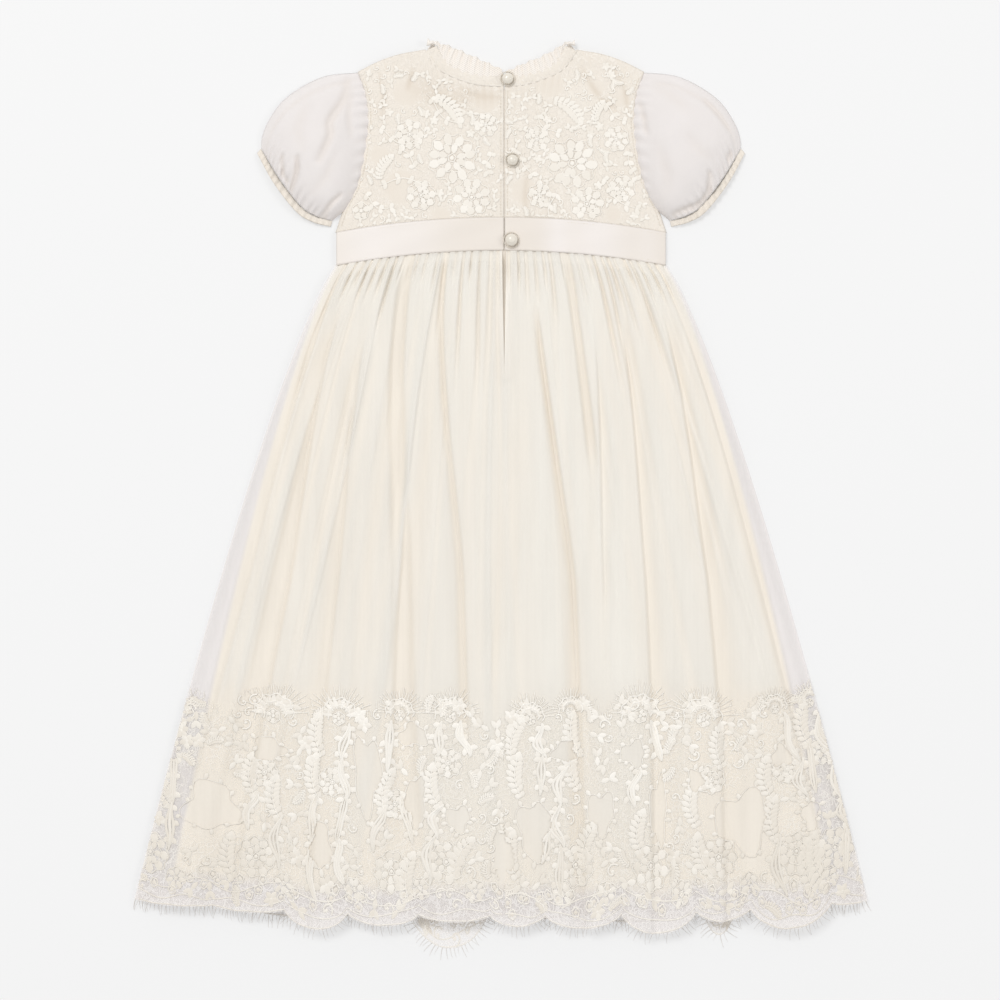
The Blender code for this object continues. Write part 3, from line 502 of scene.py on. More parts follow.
class Lacework:
    """Petals and cords of one piece of lace, drawn flat in mm and then laid on its cloth."""

    def __init__(self, seed, tops=1):
        self.luck = random.Random(seed)
        self.spots, self.faces, self.tones, self.tops = [], [], [], tops
        self.taken = []

    def strip(self, grid, tone):
        """Adds a patch of rows of (across, up, height)."""
        rows, columns = grid.shape[:2]
        first = sum(len(s) for s in self.spots)
        corner = (np.arange(rows - 1)[:, None] * columns + np.arange(columns - 1)).ravel() + first
        self.faces.append(np.stack([corner, corner + 1, corner + columns + 1, corner + columns], axis=1))
        self.spots.append(grid.reshape(-1, 3))
        self.tones.append(np.full(rows * columns, tone))

    def petal(self, across, up, long, wide, turn, tone=0.8, vein=0, rows=4):
        """A domed petal or leaf that grows from its root in the direction of turn."""
        along, out = np.meshgrid(np.linspace(0, 1, rows + 1), (-1, -0.5, 0, 0.5, 1), indexing="ij")
        half = wide / 2 * np.sin(pi * (0.06 + 0.9 * along)) ** 0.8
        height = 0.55 * (1 - out**2) * np.sin(pi * (0.1 + 0.8 * along)) - vein * (np.abs(out) < 0.1) - 0.1
        grid = *turned(across, up, along * long, out * half, turn), height * self.tops
        self.strip(np.stack(grid, axis=-1), tone)

    def cord(self, line, thick=0.45, tone=1):
        """A raised thread along the line's points. thick may change along it."""
        line = np.array(line, float)
        ahead = np.gradient(line, axis=0)
        ahead /= np.maximum(1e-6, np.linalg.norm(ahead, axis=1))[:, None]
        thick = np.broadcast_to(thick, len(line))
        side = np.stack([-ahead[:, 1], ahead[:, 0]], axis=1) * thick[:, None]
        rows = []
        for out, high in ((-1, -0.1), (-0.6, 0.9), (0.6, 0.9), (1, -0.1)):
            rows.append(np.column_stack([line + side * out, high * np.minimum(thick, 0.6) * self.tops]))
        self.strip(np.stack(rows, axis=1), tone)

    def ring(self, across, up, wide, high, thick, wobble):
        turn = np.linspace(0, 2 * pi, 21)
        size = 1 + wobble * np.sin(5 * turn + across)
        self.cord(oval(across, up, wide * size, high * size, turn), thick)

    def knot(self, across, up, size):
        self.petal(across - size, up, 2 * size, 2.2 * size, 0, 1, rows=3)

    def flower(self, across, up, size, petals, turn=0):
        """Rows of petals round a ringed middle, each row with a scalloped cord."""
        for root, reach, more in ((0.52, 0.5, 1.4), (0.2, 0.42, 1)) if size > 8 else ((0.25, 0.75, 1),):
            count = int(petals * more)
            for k in range(count):
                angle = turn + root + 2 * pi * (k + 0.2 * self.luck.uniform(-1, 1)) / count
                long = reach * size * self.luck.uniform(0.85, 1.05)
                self.petal(across + root * size * cos(angle), up + root * size * sin(angle),
                        long, 5.2 * (root + 0.5 * reach) * size / count,
                        angle + 0.25 * self.luck.uniform(-1, 1), self.luck.uniform(0.25, 1), 0.3)
            angle = np.linspace(0, 2 * pi, 8 * count + 1)
            rim = (root + 0.86 * reach) * size * (1 + 0.07 * np.cos(count * (angle - turn - root)))
            self.cord(oval(across, up, rim, rim, angle), 0.36, 0.9)
        self.ring(across, up, 0.16 * size, 0.16 * size, 0.4, 0.1)
        self.knot(across, up, 0.07 * size + 0.3)
        self.taken.append((across, up, size))

    def leaf(self, across, up, long, turn, wide=0.5):
        """A feathered leaf: a curved spine with pairs of small petals along it."""
        spine = np.linspace(0, 1, 9)
        bent = 0.14 * long * np.sin(pi * spine)
        line = np.column_stack(turned(across, up, spine * long, bent, turn))
        for i in range(8):
            angle = turn + 0.45 * cos(pi * spine[i])
            size = wide * long * (0.35 + 0.65 * sin(pi * (0.15 + 0.8 * spine[i]))) * 0.75
            # The petals on one side of the spine are a little darker, as painted shade along the vein.
            for way in (-0.95, 0.95):
                self.petal(*line[i], size, 0.135 * long, angle + way, 0.6 + 0.15 * way, 0.2, 3)
        self.petal(*line[7], 0.22 * long, 0.2 * long, turn - 0.4, 0.8)
        self.cord(line, 0.4)

    def stem(self, start, end, bend, leaves, size):
        """Wavy cords that run side by side, with a scalloped row of small petals along both edges."""
        start, end = np.array(start), np.array(end)
        share = np.linspace(0, 1, 45)
        side = np.array([-(end - start)[1], (end - start)[0]]) / np.linalg.norm(end - start)
        plume = size > 7
        belly = np.sin(pi * (0.04 + 0.92 * share))
        for row in (-1, 0, 1) if plume else (0,):
            offset = 2.25 * row * belly * (1 + 0.3 * np.sin(8 * share + 3 * bend))
            wave = bend * np.sin(2 * pi * share + 0.4 * bend) + offset
            line = start + (end - start) * share[:, None] + side * wave[:, None]
            thick = self.luck.uniform(0.9, 1.35) if plume else 0.5
            self.cord(line, thick * belly**0.6, self.luck.uniform(0.5, 1))
            if row != 0 or not plume:
                for k in range(0, leaves, 2 if plume else 1):
                    i = int(1 + 43 * (k + 0.5) / leaves)
                    ahead = line[i] - line[i - 1]
                    angle = math.atan2(ahead[1], ahead[0])
                    for way in (0.9 if row > 0 else -0.9,) if plume else (-0.9, 0.9):
                        self.petal(*line[i], size * self.luck.uniform(0.55, 0.9), 0.55 * size, angle + way,
                                self.luck.uniform(0.25, 1), 0.2)
            if row == 0:
                self.taken.extend((*line[i], 5.5 if plume else 3) for i in range(0, 45, 4))

    def curl(self, across, up, size, turn):
        """A small spiral cord with a knot at its end."""
        angle = np.linspace(0, 4.4, 9)
        reach = size * (1 - 0.16 * angle)
        self.cord(oval(across, up, reach, reach, angle + turn), 0.25 + 0.08 * size)
        self.knot(across, up, 0.25 * size)

    def fill(self, spots, size):
        """Puts a small floret, curl or leaf pair at each spot that is still free."""
        for across, up in spots:
            spare = 0.35 * size
            if any((across - a) ** 2 + (up - b) ** 2 < (reach + spare) ** 2 for a, b, reach in self.taken):
                continue
            kind, turn = self.luck.random(), self.luck.uniform(0, 2 * pi)
            if kind < 0.12:
                for k in range(5):
                    angle = turn + 2 * pi * k / 5
                    tone = self.luck.uniform(0.25, 1)
                    self.petal(across, up, 0.62 * size, 0.48 * size, angle, tone, rows=3)
                self.knot(across, up, 0.14 * size)
            elif kind < 0.26:
                self.leaf(across - 0.6 * size * cos(turn), up - 0.6 * size * sin(turn), 1.25 * size, turn)
            elif kind < 0.58:
                self.curl(across, up, self.luck.uniform(0.36, 0.56) * size, turn)
            else:
                for way in (-0.5, 0.5, pi):
                    tone = self.luck.uniform(0.25, 1)
                    self.petal(across, up, 0.72 * size, 0.4 * size, turn + way, tone, 0.2)
            self.taken.append((across, up, 0.42 * size))

    def piece(self, name, lay, keep):
        """Lays what keep leaves on its cloth: lay gives a point's place from where it was drawn."""
        spots, faces = np.concatenate(self.spots), np.concatenate(self.faces)
        faces = faces[keep(*spots[faces].mean(axis=1)[:, :2].T)]
        laid = lay(*spots.T)
        a, b, d = (laid[faces[:, i]] for i in (0, 1, 3))
        over = np.cross(b - a, d - a)[:, 2] < 0
        faces[over] = faces[over, ::-1]
        mesh = bpy.data.meshes.new(name)
        mesh.from_pydata((laid * MM).tolist(), [], faces.tolist())
        tones = np.concatenate(self.tones).astype(np.float32)
        mesh.attributes.new("tone", "FLOAT", "POINT").data.foreach_set("value", tones)
        loose = bmesh.new()
        loose.from_mesh(mesh)
        bmesh.ops.delete(loose, geom=[p for p in loose.verts if not p.link_faces], context="VERTS")
        loose.to_mesh(mesh)
        loose.free()
        return shown(name, mesh, lace_thread.made)


def border_lacework(seed, low, high, tops, windows):
    """The border's flowers between two places across. up is minus the distance below the waist."""
    lace = Lacework(seed, tops)
    luck = lace.luck

    def clear(across, down, spare=0):
        if not windows:
            return True
        return window_gap(np.array([across]), np.array([down / HEM_DROP]))[0] > spare

    for peak in (p for p in PEAKS if low - 30 < p < high + 30):
        nearest = min(abs(peak - other) for other in PEAKS if other != peak)
        size = luck.uniform(0.85, 1.1) * min(1, nearest / 46)
        at = lambda down: peak * (1 + 0.0007 * (down - 330))
        top = lace_edge(np.array([peak]))[0] + 18 * size
        for n in range(11):
            angle = pi / 2 + (n - 5) * 0.3
            lace.petal(peak + 5.5 * size * cos(angle), -top + 5.5 * size * sin(angle),
                    luck.uniform(7.5, 12) * size, 3.4 * size, angle, luck.uniform(0.2, 0.9), 0.3)
        for n in range(19):
            angle = pi / 2 + (n - 9) * 0.17
            reach = np.linspace(14, luck.uniform(19, 26), 3) * size
            lace.cord(oval(peak, -top, reach * 1.1, reach, angle), 0.3)
        for reach in (8.5, 13.5):
            angle = np.linspace(-0.35, pi + 0.35, 41)
            rim = reach * size * (1 + 0.06 * np.cos(9 * angle))
            lace.cord(oval(peak, -top, rim * 1.05, rim, angle), 0.5)
        lace.flower(at(top), -top - 2, 5.5 * size, 6, luck.uniform(0, 1))
        for way in (-1, 1):
            across, down = at(top) + way * 8 * size, top + 5
            while down < 425:
                start, down = (across, -down), down + luck.uniform(24, 40)
                across = at(down) + way * luck.uniform(4, 16)
                if clear((start[0] + across) / 2, (down - start[1]) / 2, 0.25) and clear(across, down):
                    if luck.random() < 0.45:
                        turn = math.atan2(start[1] + down, start[0] - across)
                        lace.leaf(across, -down, 30, turn + luck.uniform(-0.3, 0.3), 0.34)
                        for f in (0.3, 0.7):
                            lace.taken.append((mix(start[0], across, f), mix(start[1], -down, f), 7))
                    else:
                        lace.stem(start, (across, -down), luck.uniform(-3.5, 3.5), 6, 7.5)
                down = down - 3
        for across, down, size in ((at(442), luck.uniform(434, 444), luck.uniform(12.5, 15.5)),
                (at(390), luck.uniform(360, 402), 10.5), (at(455) + 22, 456, 8)):
            if clear(across, down, 0.3):
                lace.flower(across, -down, size, 7, luck.uniform(0, 1))
    if windows:
        for across, down, half_width, half_height in WINDOWS:
            if low < across < high:
                middle = -down * HEM_DROP
                angles = np.linspace(0, 2 * pi, 33)
                rim = window_rim(angles, across)
                edge = oval(across, middle, (half_width + 0.6) * rim, (half_height + 0.6) * rim, angles)
                lace.cord(edge, 0.3)
                for k in range(0, 32, 3):
                    lace.petal(*edge[k], luck.uniform(3, 5), 3.4, angles[k] + luck.uniform(-0.9, 0.9),
                            luck.uniform(0.4, 0.9))
                for part in (-0.55, 0, 0.55):
                    lace.taken.append((across, middle + part * half_height, half_width + 3))
    line = np.arange(low, high, 1.5)
    for inset, wave in ((1, 0.3), (7, 2), (17, 4)):
        along = line / (3 + 2.5 * wave) + 2 * np.sin(line / 37)
        lace.cord(np.column_stack([line, inset - HEM_DROP + wave * np.sin(along)]), 0.4)
    for across in np.arange(low + 2, high, 3.4):
        edge = lace_edge(np.array([across]))[0]
        lean, reach = luck.uniform(-0.8, 0.8), luck.uniform(3, 6)
        tip = across + lean * 2, -edge - 2 + reach
        lace.cord([(across, -edge - 2), (across + 0.5 * lean, -edge), tip], 0.26)
        if luck.random() < 0.4:
            down = luck.uniform(452, 468)
            # A small ring with a dark petal in its middle, painted shade in its hole.
            lace.ring(across, -down, 2.6, 3, 0.5, 0.12)
            lace.petal(across - 1.6, -down, 3.2, 3.4, 0, 0.15, rows=3)
            lace.taken.append((across, -down, 3))
    step = 7.3 if windows else 11
    spots = [(across + luck.uniform(-1.8, 1.8), -down + luck.uniform(-1.8, 1.8))
            for row, down in enumerate(np.arange(LACE_TOP + 9, HEM_DROP - 5, step))
            for across in np.arange(low + step * 0.5 * (row % 2), high, step)]
    spots = [(a, b) for a, b in spots if -b > lace_edge(np.array([a]))[0] + 4]
    lace.fill(spots, 9.6)
    return lace


def lay_on_skirt(lobes, height):
    """Lace points are laid by how far across and below the waist they were drawn."""

    def lay(across, up, high):
        v = np.clip(-up / HEM_DROP, 0, 1)
        return np.stack([across, skirt_y(across, v, lobes), height(across, v) + high], axis=-1)

    return lay


def on_skirt(x, up):
    """Whether lace drawn there lies on its panel."""
    v = -up / HEM_DROP
    return (np.abs(x) < skirt_half(np.clip(v, 0.01, 1)) - 0.6) & (v < 0.9985)


for side, label in ((-1, "left"), (1, "right")):
    u, t = shares(170, 60)
    x = mix(side * LACE_HALF, CENTRE_BACK, u)
    v = mix(lace_edge(x) / HEM_DROP, 1, t)
    x = x * mix(skirt_half(v) / LACE_HALF, 1, smooth(0.2, 0, 1 - u))
    lay = lay_on_skirt(BACK_LOBES, lambda x, v: net_form(x, v)[0] + LACE_LIFT)
    spots = np.moveaxis(lay(x, -v * HEM_DROP, 0 * x), -1, 0)
    ground = cloth(f"lace_ground_back_{label}", *spots, lace_ground.made,
            sewn=np.minimum(window_gap(x, v), 6 * t), sheer=1 - lined(x, v, 0.7))

    def keep(x, up):
        """Trims the lace to its panel and its windows."""
        return on_skirt(x, up) & (side * (x - CENTRE_BACK) > 0.6) & (window_gap(x, -up / HEM_DROP) > -0.06)

    low, high = (-272, CENTRE_BACK - 0.6) if side < 0 else (CENTRE_BACK + 0.6, 272)
    lace = border_lacework(21 if side < 0 else 22, low, high, 1, True)
    flowers = lace.piece(f"lace_flowers_back_{label}", lay, keep)
    sewn(ground, "lace")
    sewn(flowers, "lace", f"lace_border_back_{label}")

u, t = shares(240, 36)
x = mix(-1, 1, u) * LACE_HALF
v = mix(lace_edge(x) / HEM_DROP, 1, t)
x = x * skirt_half(v) / LACE_HALF
lay = lay_on_skirt(FRONT_LOBES, lambda x, v: 0.35 + 0 * x)
spots = np.moveaxis(lay(x, -v * HEM_DROP, 0 * x), -1, 0)
ground = cloth("lace_ground_front", *spots, lace_ground.made, up=False,
        sewn=6 * t, sheer=1 - lined(x, v, 0.7))
flowers = border_lacework(23, -272, 272, 0.5, False).piece("lace_flowers_front", lay, on_skirt)
sewn(ground, "lace")
sewn(flowers, "lace", "lace_border_front")

# Eyelash threads of the hem
# The lace's warp ends are left uncut past its scalloped edge, as short loose threads that fan out
# round each scallop and hang down to the surface that the gown lies on.
shaded_eyelash_thread = Finish("shaded eyelash thread", Roughness=0.8, Sheen_Weight=0.1, Specular_IOR_Level=0.2)
strand = shaded_eyelash_thread.threads(shaded_eyelash_thread.x + shaded_eyelash_thread.y, 0.4)
# Painted shade: the loose threads are dyed darker and greyer than the lace's own thread; the stripes and
# blotches are the thread's own.
shaded_eyelash_thread.colour(strand * 0.5 + shaded_eyelash_thread.mottle(3) * 0.5, (222, 215, 208), (238, 233, 227))
shaded_eyelash_thread.relief(strand, 0.04)
RESTING = 0.7 * MM  # how high the tips of the threads lie


def thread_tree(name, result, lash, *sizes):
    """A tree that sets a short thread at each Pitch of a line: a lash that hangs off it, or a stitch."""
    tree = bpy.data.node_groups.new(name, "GeometryNodeTree")
    tree.interface.new_socket(result, in_out="OUTPUT", socket_type="NodeSocketGeometry")
    for label, kind, value in (("Edge", "Geometry", None), *sizes, ("Finish", "Material", None)):
        socket = tree.interface.new_socket(label, in_out="INPUT", socket_type=f"NodeSocket{kind}")
        if value is not None:
            socket.default_value = value
    given = tree.nodes.new("NodeGroupInput").outputs

    def add(kind, inputs=(), **settings):
        return add_node(tree, kind, inputs, **settings).outputs[0]

    def chance(low, high, seed):
        node = add_node(tree, "FunctionNodeRandomValue", {2: low, 3: high, 8: seed}, data_type="FLOAT")
        return Amount(node.outputs[1])

    line = add("GeometryNodeMeshToCurve", {"Mesh": given["Edge"]})
    roots = add("GeometryNodeResampleCurve", {"Curve": line, "Length": given["Pitch"]}, mode="LENGTH")
    half, thick, seed = Amount(given["Length"]) * 0.5, given["Thickness"], Amount(given["Seed"])
    hanging = {}, {0: half * -0.16, 1: half * -1}, {1: half * -2}
    lying = {0: half * -1}, {2: thick}, {0: half}
    start, middle, end = (add("ShaderNodeCombineXYZ", place) for place in (hanging if lash else lying))
    bent = {"Resolution": 4, "Start": start, "Middle": middle, "End": end}
    thread = add("GeometryNodeCurveQuadraticBezier", bent)
    ring = add("GeometryNodeCurvePrimitiveCircle", {"Resolution": 4 if lash else 5, "Radius": thick})
    form = {"Fill Caps": True}
    if lash:
        along = Amount(add("GeometryNodeSplineParameter"))
        thread = add("GeometryNodeStoreNamedAttribute", {"Geometry": thread, "Name": "tone", "Value": along},
                data_type="FLOAT", domain="POINT")
        form = {"Scale": 1 - along * 0.6}
    thread = add("GeometryNodeCurveToMesh", {"Curve": thread, "Profile Curve": ring, **form})
    facing = add("FunctionNodeAlignRotationToVector", {"Vector": add("GeometryNodeInputTangent")}, axis="X",
            pivot_axis="Z" if lash else "AUTO")
    if lash:
        swing = add("ShaderNodeCombineXYZ", {2: chance(-1, 1, seed) * given["Spread"]})
        facing = add("FunctionNodeRotateRotation", {0: facing, 1: swing}, rotation_space="LOCAL")
    scale = chance(0.65, 1.25, seed + 1) if lash else chance(0.8, 1.15, seed)
    placed = add("GeometryNodeInstanceOnPoints",
            {"Points": roots, "Instance": thread, "Rotation": facing, "Scale": scale})
    real = add("GeometryNodeRealizeInstances", {0: placed})
    if lash:
        x, y, z = add_node(tree, "ShaderNodeSeparateXYZ", {0: add("GeometryNodeInputPosition")}).outputs
        kept = add("GeometryNodeInputNamedAttribute", {"Name": "tone"}, data_type="FLOAT")
        fall = Amount(kept) * given["Fall"]
        lower = add("ShaderNodeCombineXYZ", {0: x, 1: y, 2: Amount(z) * (1 - fall) + fall * RESTING})
        real = add("GeometryNodeSetPosition", {"Geometry": real, "Position": lower})
    real = add("GeometryNodeSetMaterial", {"Geometry": real, "Material": given["Finish"]})
    tree.links.new(real, tree.nodes.new("NodeGroupOutput").inputs[0])
    return tree


def made_by(name, tree, line, **given):
    """Runs the tree along a line of points and keeps what it makes as a plain mesh."""
    mesh = bpy.data.meshes.new(name)
    mesh.from_pydata((np.array(line) * MM).tolist(), [(i, i + 1) for i in range(len(line) - 1)], [])
    piece = bpy.data.objects.new(name, mesh)
    bpy.context.scene.collection.objects.link(piece)
    maker = piece.modifiers.new("maker", "NODES")
    maker.node_group = tree
    for item in tree.interface.items_tree:
        if item.in_out == "INPUT" and item.name in given:
            maker[item.identifier] = given[item.name]
    settled(piece)
    piece.data.name = name
    return piece


eyelashes = thread_tree("eyelash threads", "Threads", True, ("Pitch", "Float", 2.9 * MM),
        ("Length", "Float", 8 * MM), ("Thickness", "Float", 0.2 * MM), ("Spread", "Float", 0.25),
        ("Fall", "Float", 0.8), ("Seed", "Int", 5))
back_edge = lambda x: net_form(x, np.ones_like(x))[0] + 0.6
for label, low, high, lobes, height in (("back_left", -274.5, CENTRE_BACK - 0.5, BACK_LOBES, back_edge),
        ("back_right", CENTRE_BACK + 0.5, 274.5, BACK_LOBES, back_edge),
        ("front", -274.5, 274.5, FRONT_LOBES, lambda x: 0 * x + 0.5)):
    x = np.arange(low, high, 1)
    line = np.column_stack([x, skirt_y(x, np.ones_like(x), lobes) + 0.4, height(x)])
    piece = made_by(f"eyelashes_{label}", eyelashes, line, Finish=shaded_eyelash_thread.made, Seed=len(label))
    sewn(piece, "lace", f"hem_fringe_{label}")

# Bodice
# A front and two back halves of matte silk, closed at the centre back. The back yoke is eased into
# the neck binding with fine gathers, and a plain underlap strip lies behind the opening.
SIDE_SEAM = (
    (-123, 199), (-117, 216.4), (-108.8, 232), (-103.5, 252.4),
    (-99.8, 279.4), (-101.3, 301), (-107, 318),
)
SHOULDER = ((-107, 318), (-92, 325.5), (-76, 331), (-56.5, 334.5))
NECK_SEAM = ((0, 307.9), (-18, 309.5), (-34.5, 314.5), (-47, 321.5), (-56.5, 334.5))
FRONT_NECK = ((0, 284), (-22, 288), (-42, 303), (-56.5, 334.5))
OPENING_HALF = 0.3

crepe = Finish("bodice silk", Roughness=0.7, Sheen_Weight=0.12, Specular_IOR_Level=0.25)
laced = crepe.mark("laced")
curls = crepe.curly_cords(5) * laced
# Painted shade: the fold mark darkens the silk in its creases, and the plain places without lace are a little
# darker, partly their own tone and partly painted shade. The blotches are random tone, and the lace cords are
# lighter.
shaded = crepe.mottle(38) * 0.5 + crepe.mark("fold") * 0.8 - curls * 0.5 + (1 - laced) * 0.12
crepe.colour(shaded, (240, 233, 223), (224, 213, 199))
weave = crepe.threads(crepe.x, 0.5) * crepe.threads(crepe.y, 0.5)
crepe.relief(weave + crepe.mottle(1.2) + curls * 2, 0.05)

PLAIN = (  # where no lace is sewn on the bodice: centre across, centre up, reach
    (-75, 232, 14), (-71, 303, 11), (-11, 297, 9), (37, 309, 11), (72, 307, 7),
    (-91, 256, 8), (18, 229, 11), (92, 298, 6), (-45, 210, 8), (84, 212, 7),
)


def lace_cover(x, y):
    """1 where lace is sewn on the bodice, and 0 on its plain places."""
    cover = np.ones_like(x)
    for across, up, reach in PLAIN:
        cover = np.minimum(cover, smooth(reach - 3, reach + 1, np.hypot(x - across, y - up)))
    return cover


def curve(points):
    """A function from 0 to 1 along a smooth line through the points, spaced by their distances."""
    spots = np.array(points, float)
    steps = np.linalg.norm(np.diff(spots, axis=0), axis=1)
    along = np.concatenate([[0], np.cumsum(steps)])
    last = len(spots) - 1

    def at(share):
        target = np.asarray(share, float) * along[-1]
        i = np.clip(np.searchsorted(along, target, side="right") - 1, 0, last - 1)
        f = ((target - along[i]) / steps[i])[..., None]
        here, after = spots[i], spots[i + 1]
        slope_1 = (after - spots[np.maximum(i - 1, 0)]) / np.where(i > 0, 2, 1)[..., None]
        slope_2 = (spots[np.minimum(i + 2, last)] - here) / np.where(i + 2 <= last, 2, 1)[..., None]
        return (here * (2 * f**3 - 3 * f**2 + 1) + slope_1 * (f**3 - 2 * f**2 + f)
                + after * (3 * f**2 - 2 * f**3) + slope_2 * (f**3 - f**2))

    return at


def patch(bottom, top, near, far):
    """A patch between four lines: u runs along bottom and top, v along near and far."""

    def at(u, v):
        u_, v_ = u[..., None], v[..., None]
        corners = [line(np.float64(end)) for line in (bottom, top) for end in (0, 1)]
        ruled = bottom(u) * (1 - v_) + top(u) * v_ + near(v) * (1 - u_) + far(v) * u_
        return (ruled - (corners[0] * (1 - u_) + corners[1] * u_) * (1 - v_)
                - (corners[2] * (1 - u_) + corners[3] * u_) * v_)

    return at


def mirrored(points, flip):
    return [(flip * x, y) for x, y in points]


def bodice_half(flip, centre, neck_points):
    side_points = mirrored(SIDE_SEAM, flip)
    neck = curve([(centre, neck_points[0][1])] + mirrored(neck_points[1:], flip))
    shoulder = curve(mirrored(SHOULDER[::-1], flip))
    side_x, side_y = side_points[0]

    def bottom(u):
        x = mix(centre, side_x, u)
        return np.stack([x, side_y + waist_arch(x)], axis=-1)

    def top(u):
        first, second = neck(np.clip(2 * u, 0, 1)), shoulder(np.clip(2 * u - 1, 0, 1))
        return np.where(np.asarray(u)[..., None] < 0.5, first, second)

    centre_line = curve([tuple(bottom(np.float64(0))), tuple(neck(np.float64(0)))])
    outline = patch(bottom, top, centre_line, curve(side_points))
    return lambda u, v: outline(u * 1.008, mix(-0.008, 1.008, v))


def trough(x, y, line, width, depth):
    """A crease along the line's points, which fades out at its two ends."""
    spots = curve(line)(np.linspace(0, 1, 25))
    steps = np.linalg.norm(np.diff(spots, axis=0), axis=1)
    starts = np.concatenate([[0], np.cumsum(steps)])
    best, share = np.full_like(x, 1e9), np.zeros_like(x)
    for i, step in enumerate(steps):
        ahead = (spots[i + 1] - spots[i]) / step
        along = np.clip((x - spots[i, 0]) * ahead[0] + (y - spots[i, 1]) * ahead[1], 0, step)
        away = np.hypot(x - spots[i, 0] - along * ahead[0], y - spots[i, 1] - along * ahead[1])
        nearer = away < best
        best = np.where(nearer, away, best)
        share = np.where(nearer, (starts[i] + along) / starts[-1], share)
    return depth * bell(best, width) * np.sin(pi * np.clip(0.08 + 0.84 * share, 0, 1)) ** 0.5


BACK_CREASES = (  # a line of points, its width and its depth
    (((-92, 318), (-88, 300), (-90, 284)), 2.2, 0.7),
    (((-66, 322), (-70, 306)), 2, 0.8),
    (((60, 322), (74, 300), (88, 290)), 2.4, 0.8),
    (((84, 322), (93, 304), (95, 286)), 2, 0.7),
    (((-30, 306), (-14, 300), (-2, 300)), 2, 0.5),
    (((20, 244), (18, 222), (22, 206)), 2.2, 0.6),
    (((-62, 306), (-38, 299), (-8, 302)), 9, 0.7),
)
for label, flip in (("left", 1), ("right", -1)):
    outline = bodice_half(flip, CENTRE_BACK - flip * OPENING_HALF, NECK_SEAM)
    u, v = shares(95, 72)
    x, y = np.moveaxis(outline(u, v), -1, 0)
    ease = 0.22 * np.sin(2 * pi * (11 * u * 2 + 0.4 * np.sin(9 * u))) * smooth(0.72, 1, v) * (u < 0.5)
    ease = ease + 0.16 * np.sin(2 * pi * 16 * u) * smooth(0.86, 1, v) * (u >= 0.5)
    dents = sum(trough(x, y, *crease) for crease in BACK_CREASES)
    rolled = 0.9 * smooth(0.985, 1, u) + 0.5 * smooth(0.985, 1, v)
    z = back_height(x, y) + 0.75 + ease - 0.45 * dents - rolled + 0.12 * np.sin(x / 7) * np.sin(y / 11)
    # Painted shade in the creases and in the troughs of the eased gathers.
    piece = cloth(f"bodice_panel_back_{label}", x, y, z, crepe.made, 0.4, fold=np.clip(dents - ease, 0, 1),
            laced=lace_cover(x, y))
    sewn(piece, "bodice_silk", f"bodice_back_{label}")
u, v = shares(80, 50)
halves = [bodice_half(flip, 0, FRONT_NECK)(np.abs(2 * u - 1), v) for flip in (1, -1)]
x, y = np.moveaxis(np.where((u < 0.5)[..., None], *halves), -1, 0)
creases = 0.12 * (1 + np.sin(x / 9 + 2 * np.sin(y / 17)))
# A faint painted shade that follows the front's soft creases.
piece = cloth("bodice_panel_front", x, y, 0.45 + creases, crepe.made, 0.4, up=False, fold=creases)
sewn(piece, "bodice_silk", "bodice_front")

UNDERLAP = (  # places up the gown, and how high the strip lies there
    (88, 8.4), (120, 7.4), (150, 6.2), (165, 5.2), (176.5, 4.2),
    (183.8, 3), (190, 3), (214, 1.5), (305.9, 1.5),
)
u, v = shares(12, 110)
y = mix(UNDERLAP[0][0], UNDERLAP[-1][0], v)
heights = np.interp(y, *zip(*UNDERLAP))
x = CENTRE_BACK + mix(-6.3, 6.3, u)
heights = mix(heights + 0.5, back_height(x, y) + 0.3, smooth(172, 186, y)) + 0.08 * np.sin(y / 9)
piece = cloth("underlap_strip", x, y, heights, crepe.made, 0.4, fold=0)
sewn(piece, "bodice_silk", "placket")

# Lace sprays on the bodice
# Flowers and leaves cut from the same lace are sewn over the middle of both back halves, close
# together at the opening and thinner towards the shoulders, with a plain patch low on the left.
BLOSSOMS = (  # centre across, centre up, size, petals, turn in degrees
    (-36.8, 254, 18.5, 8, 10), (-22, 224.5, 14, 7, 0), (-68.5, 272, 11, 6, 20),
    (-11.5, 279, 9, 6, 0), (-60, 226, 11, 6, 30), (-105, 214.5, 7, 5, 0),
    (53.5, 250, 18.5, 8, 0), (64.5, 219.5, 12.5, 7, 15), (27, 268.5, 9.5, 6, 10),
    (86.5, 268.5, 9.5, 6, 0), (91, 231, 10, 6, 40), (29, 226, 9, 6, 20),
)
LEAVES = (  # middle across, middle up, half length, turn in degrees
    (-40, 290, 13, -45), (-86.5, 247, 10, 60), (50, 289, 13, -40), (74, 288, 9, 70),
)
SPRAY_STEMS = (  # start, end, bend, pairs of leaves
    ((-96, 276), (-60, 262), 3, 4), ((-58, 300), (-28, 276), 3, 4),
    ((-106, 226), (-80, 214), 3, 4), ((-60, 246), (-78, 262), 2, 3),
    ((-50, 236), (-92, 236), 3, 4), ((24, 290), (44, 268), -3, 3),
    ((74, 296), (96, 280), 2, 3), ((96, 262), (100, 236), -2, 4),
    ((72, 240), (104, 212), 3, 5), ((40, 232), (36, 206), 2, 3),
    ((-8, 262), (-10, 240), 2, 3), ((16, 258), (22, 238), -2, 3),
)
sprays = Lacework(31, 0.38)
for across, up, size, petals, turn in BLOSSOMS:
    sprays.flower(across, up, size, petals, math.radians(turn))
for across, up, half_length, turn in LEAVES:
    turn = math.radians(turn)
    sprays.leaf(across - half_length * cos(turn), up - half_length * sin(turn), 2 * half_length, turn, 0.36)
    sprays.taken.append((across, up, 0.7 * half_length))
for start, end, bend, pairs in SPRAY_STEMS:
    sprays.stem(start, end, bend, pairs, 6.5)
sprays.taken.extend(PLAIN)
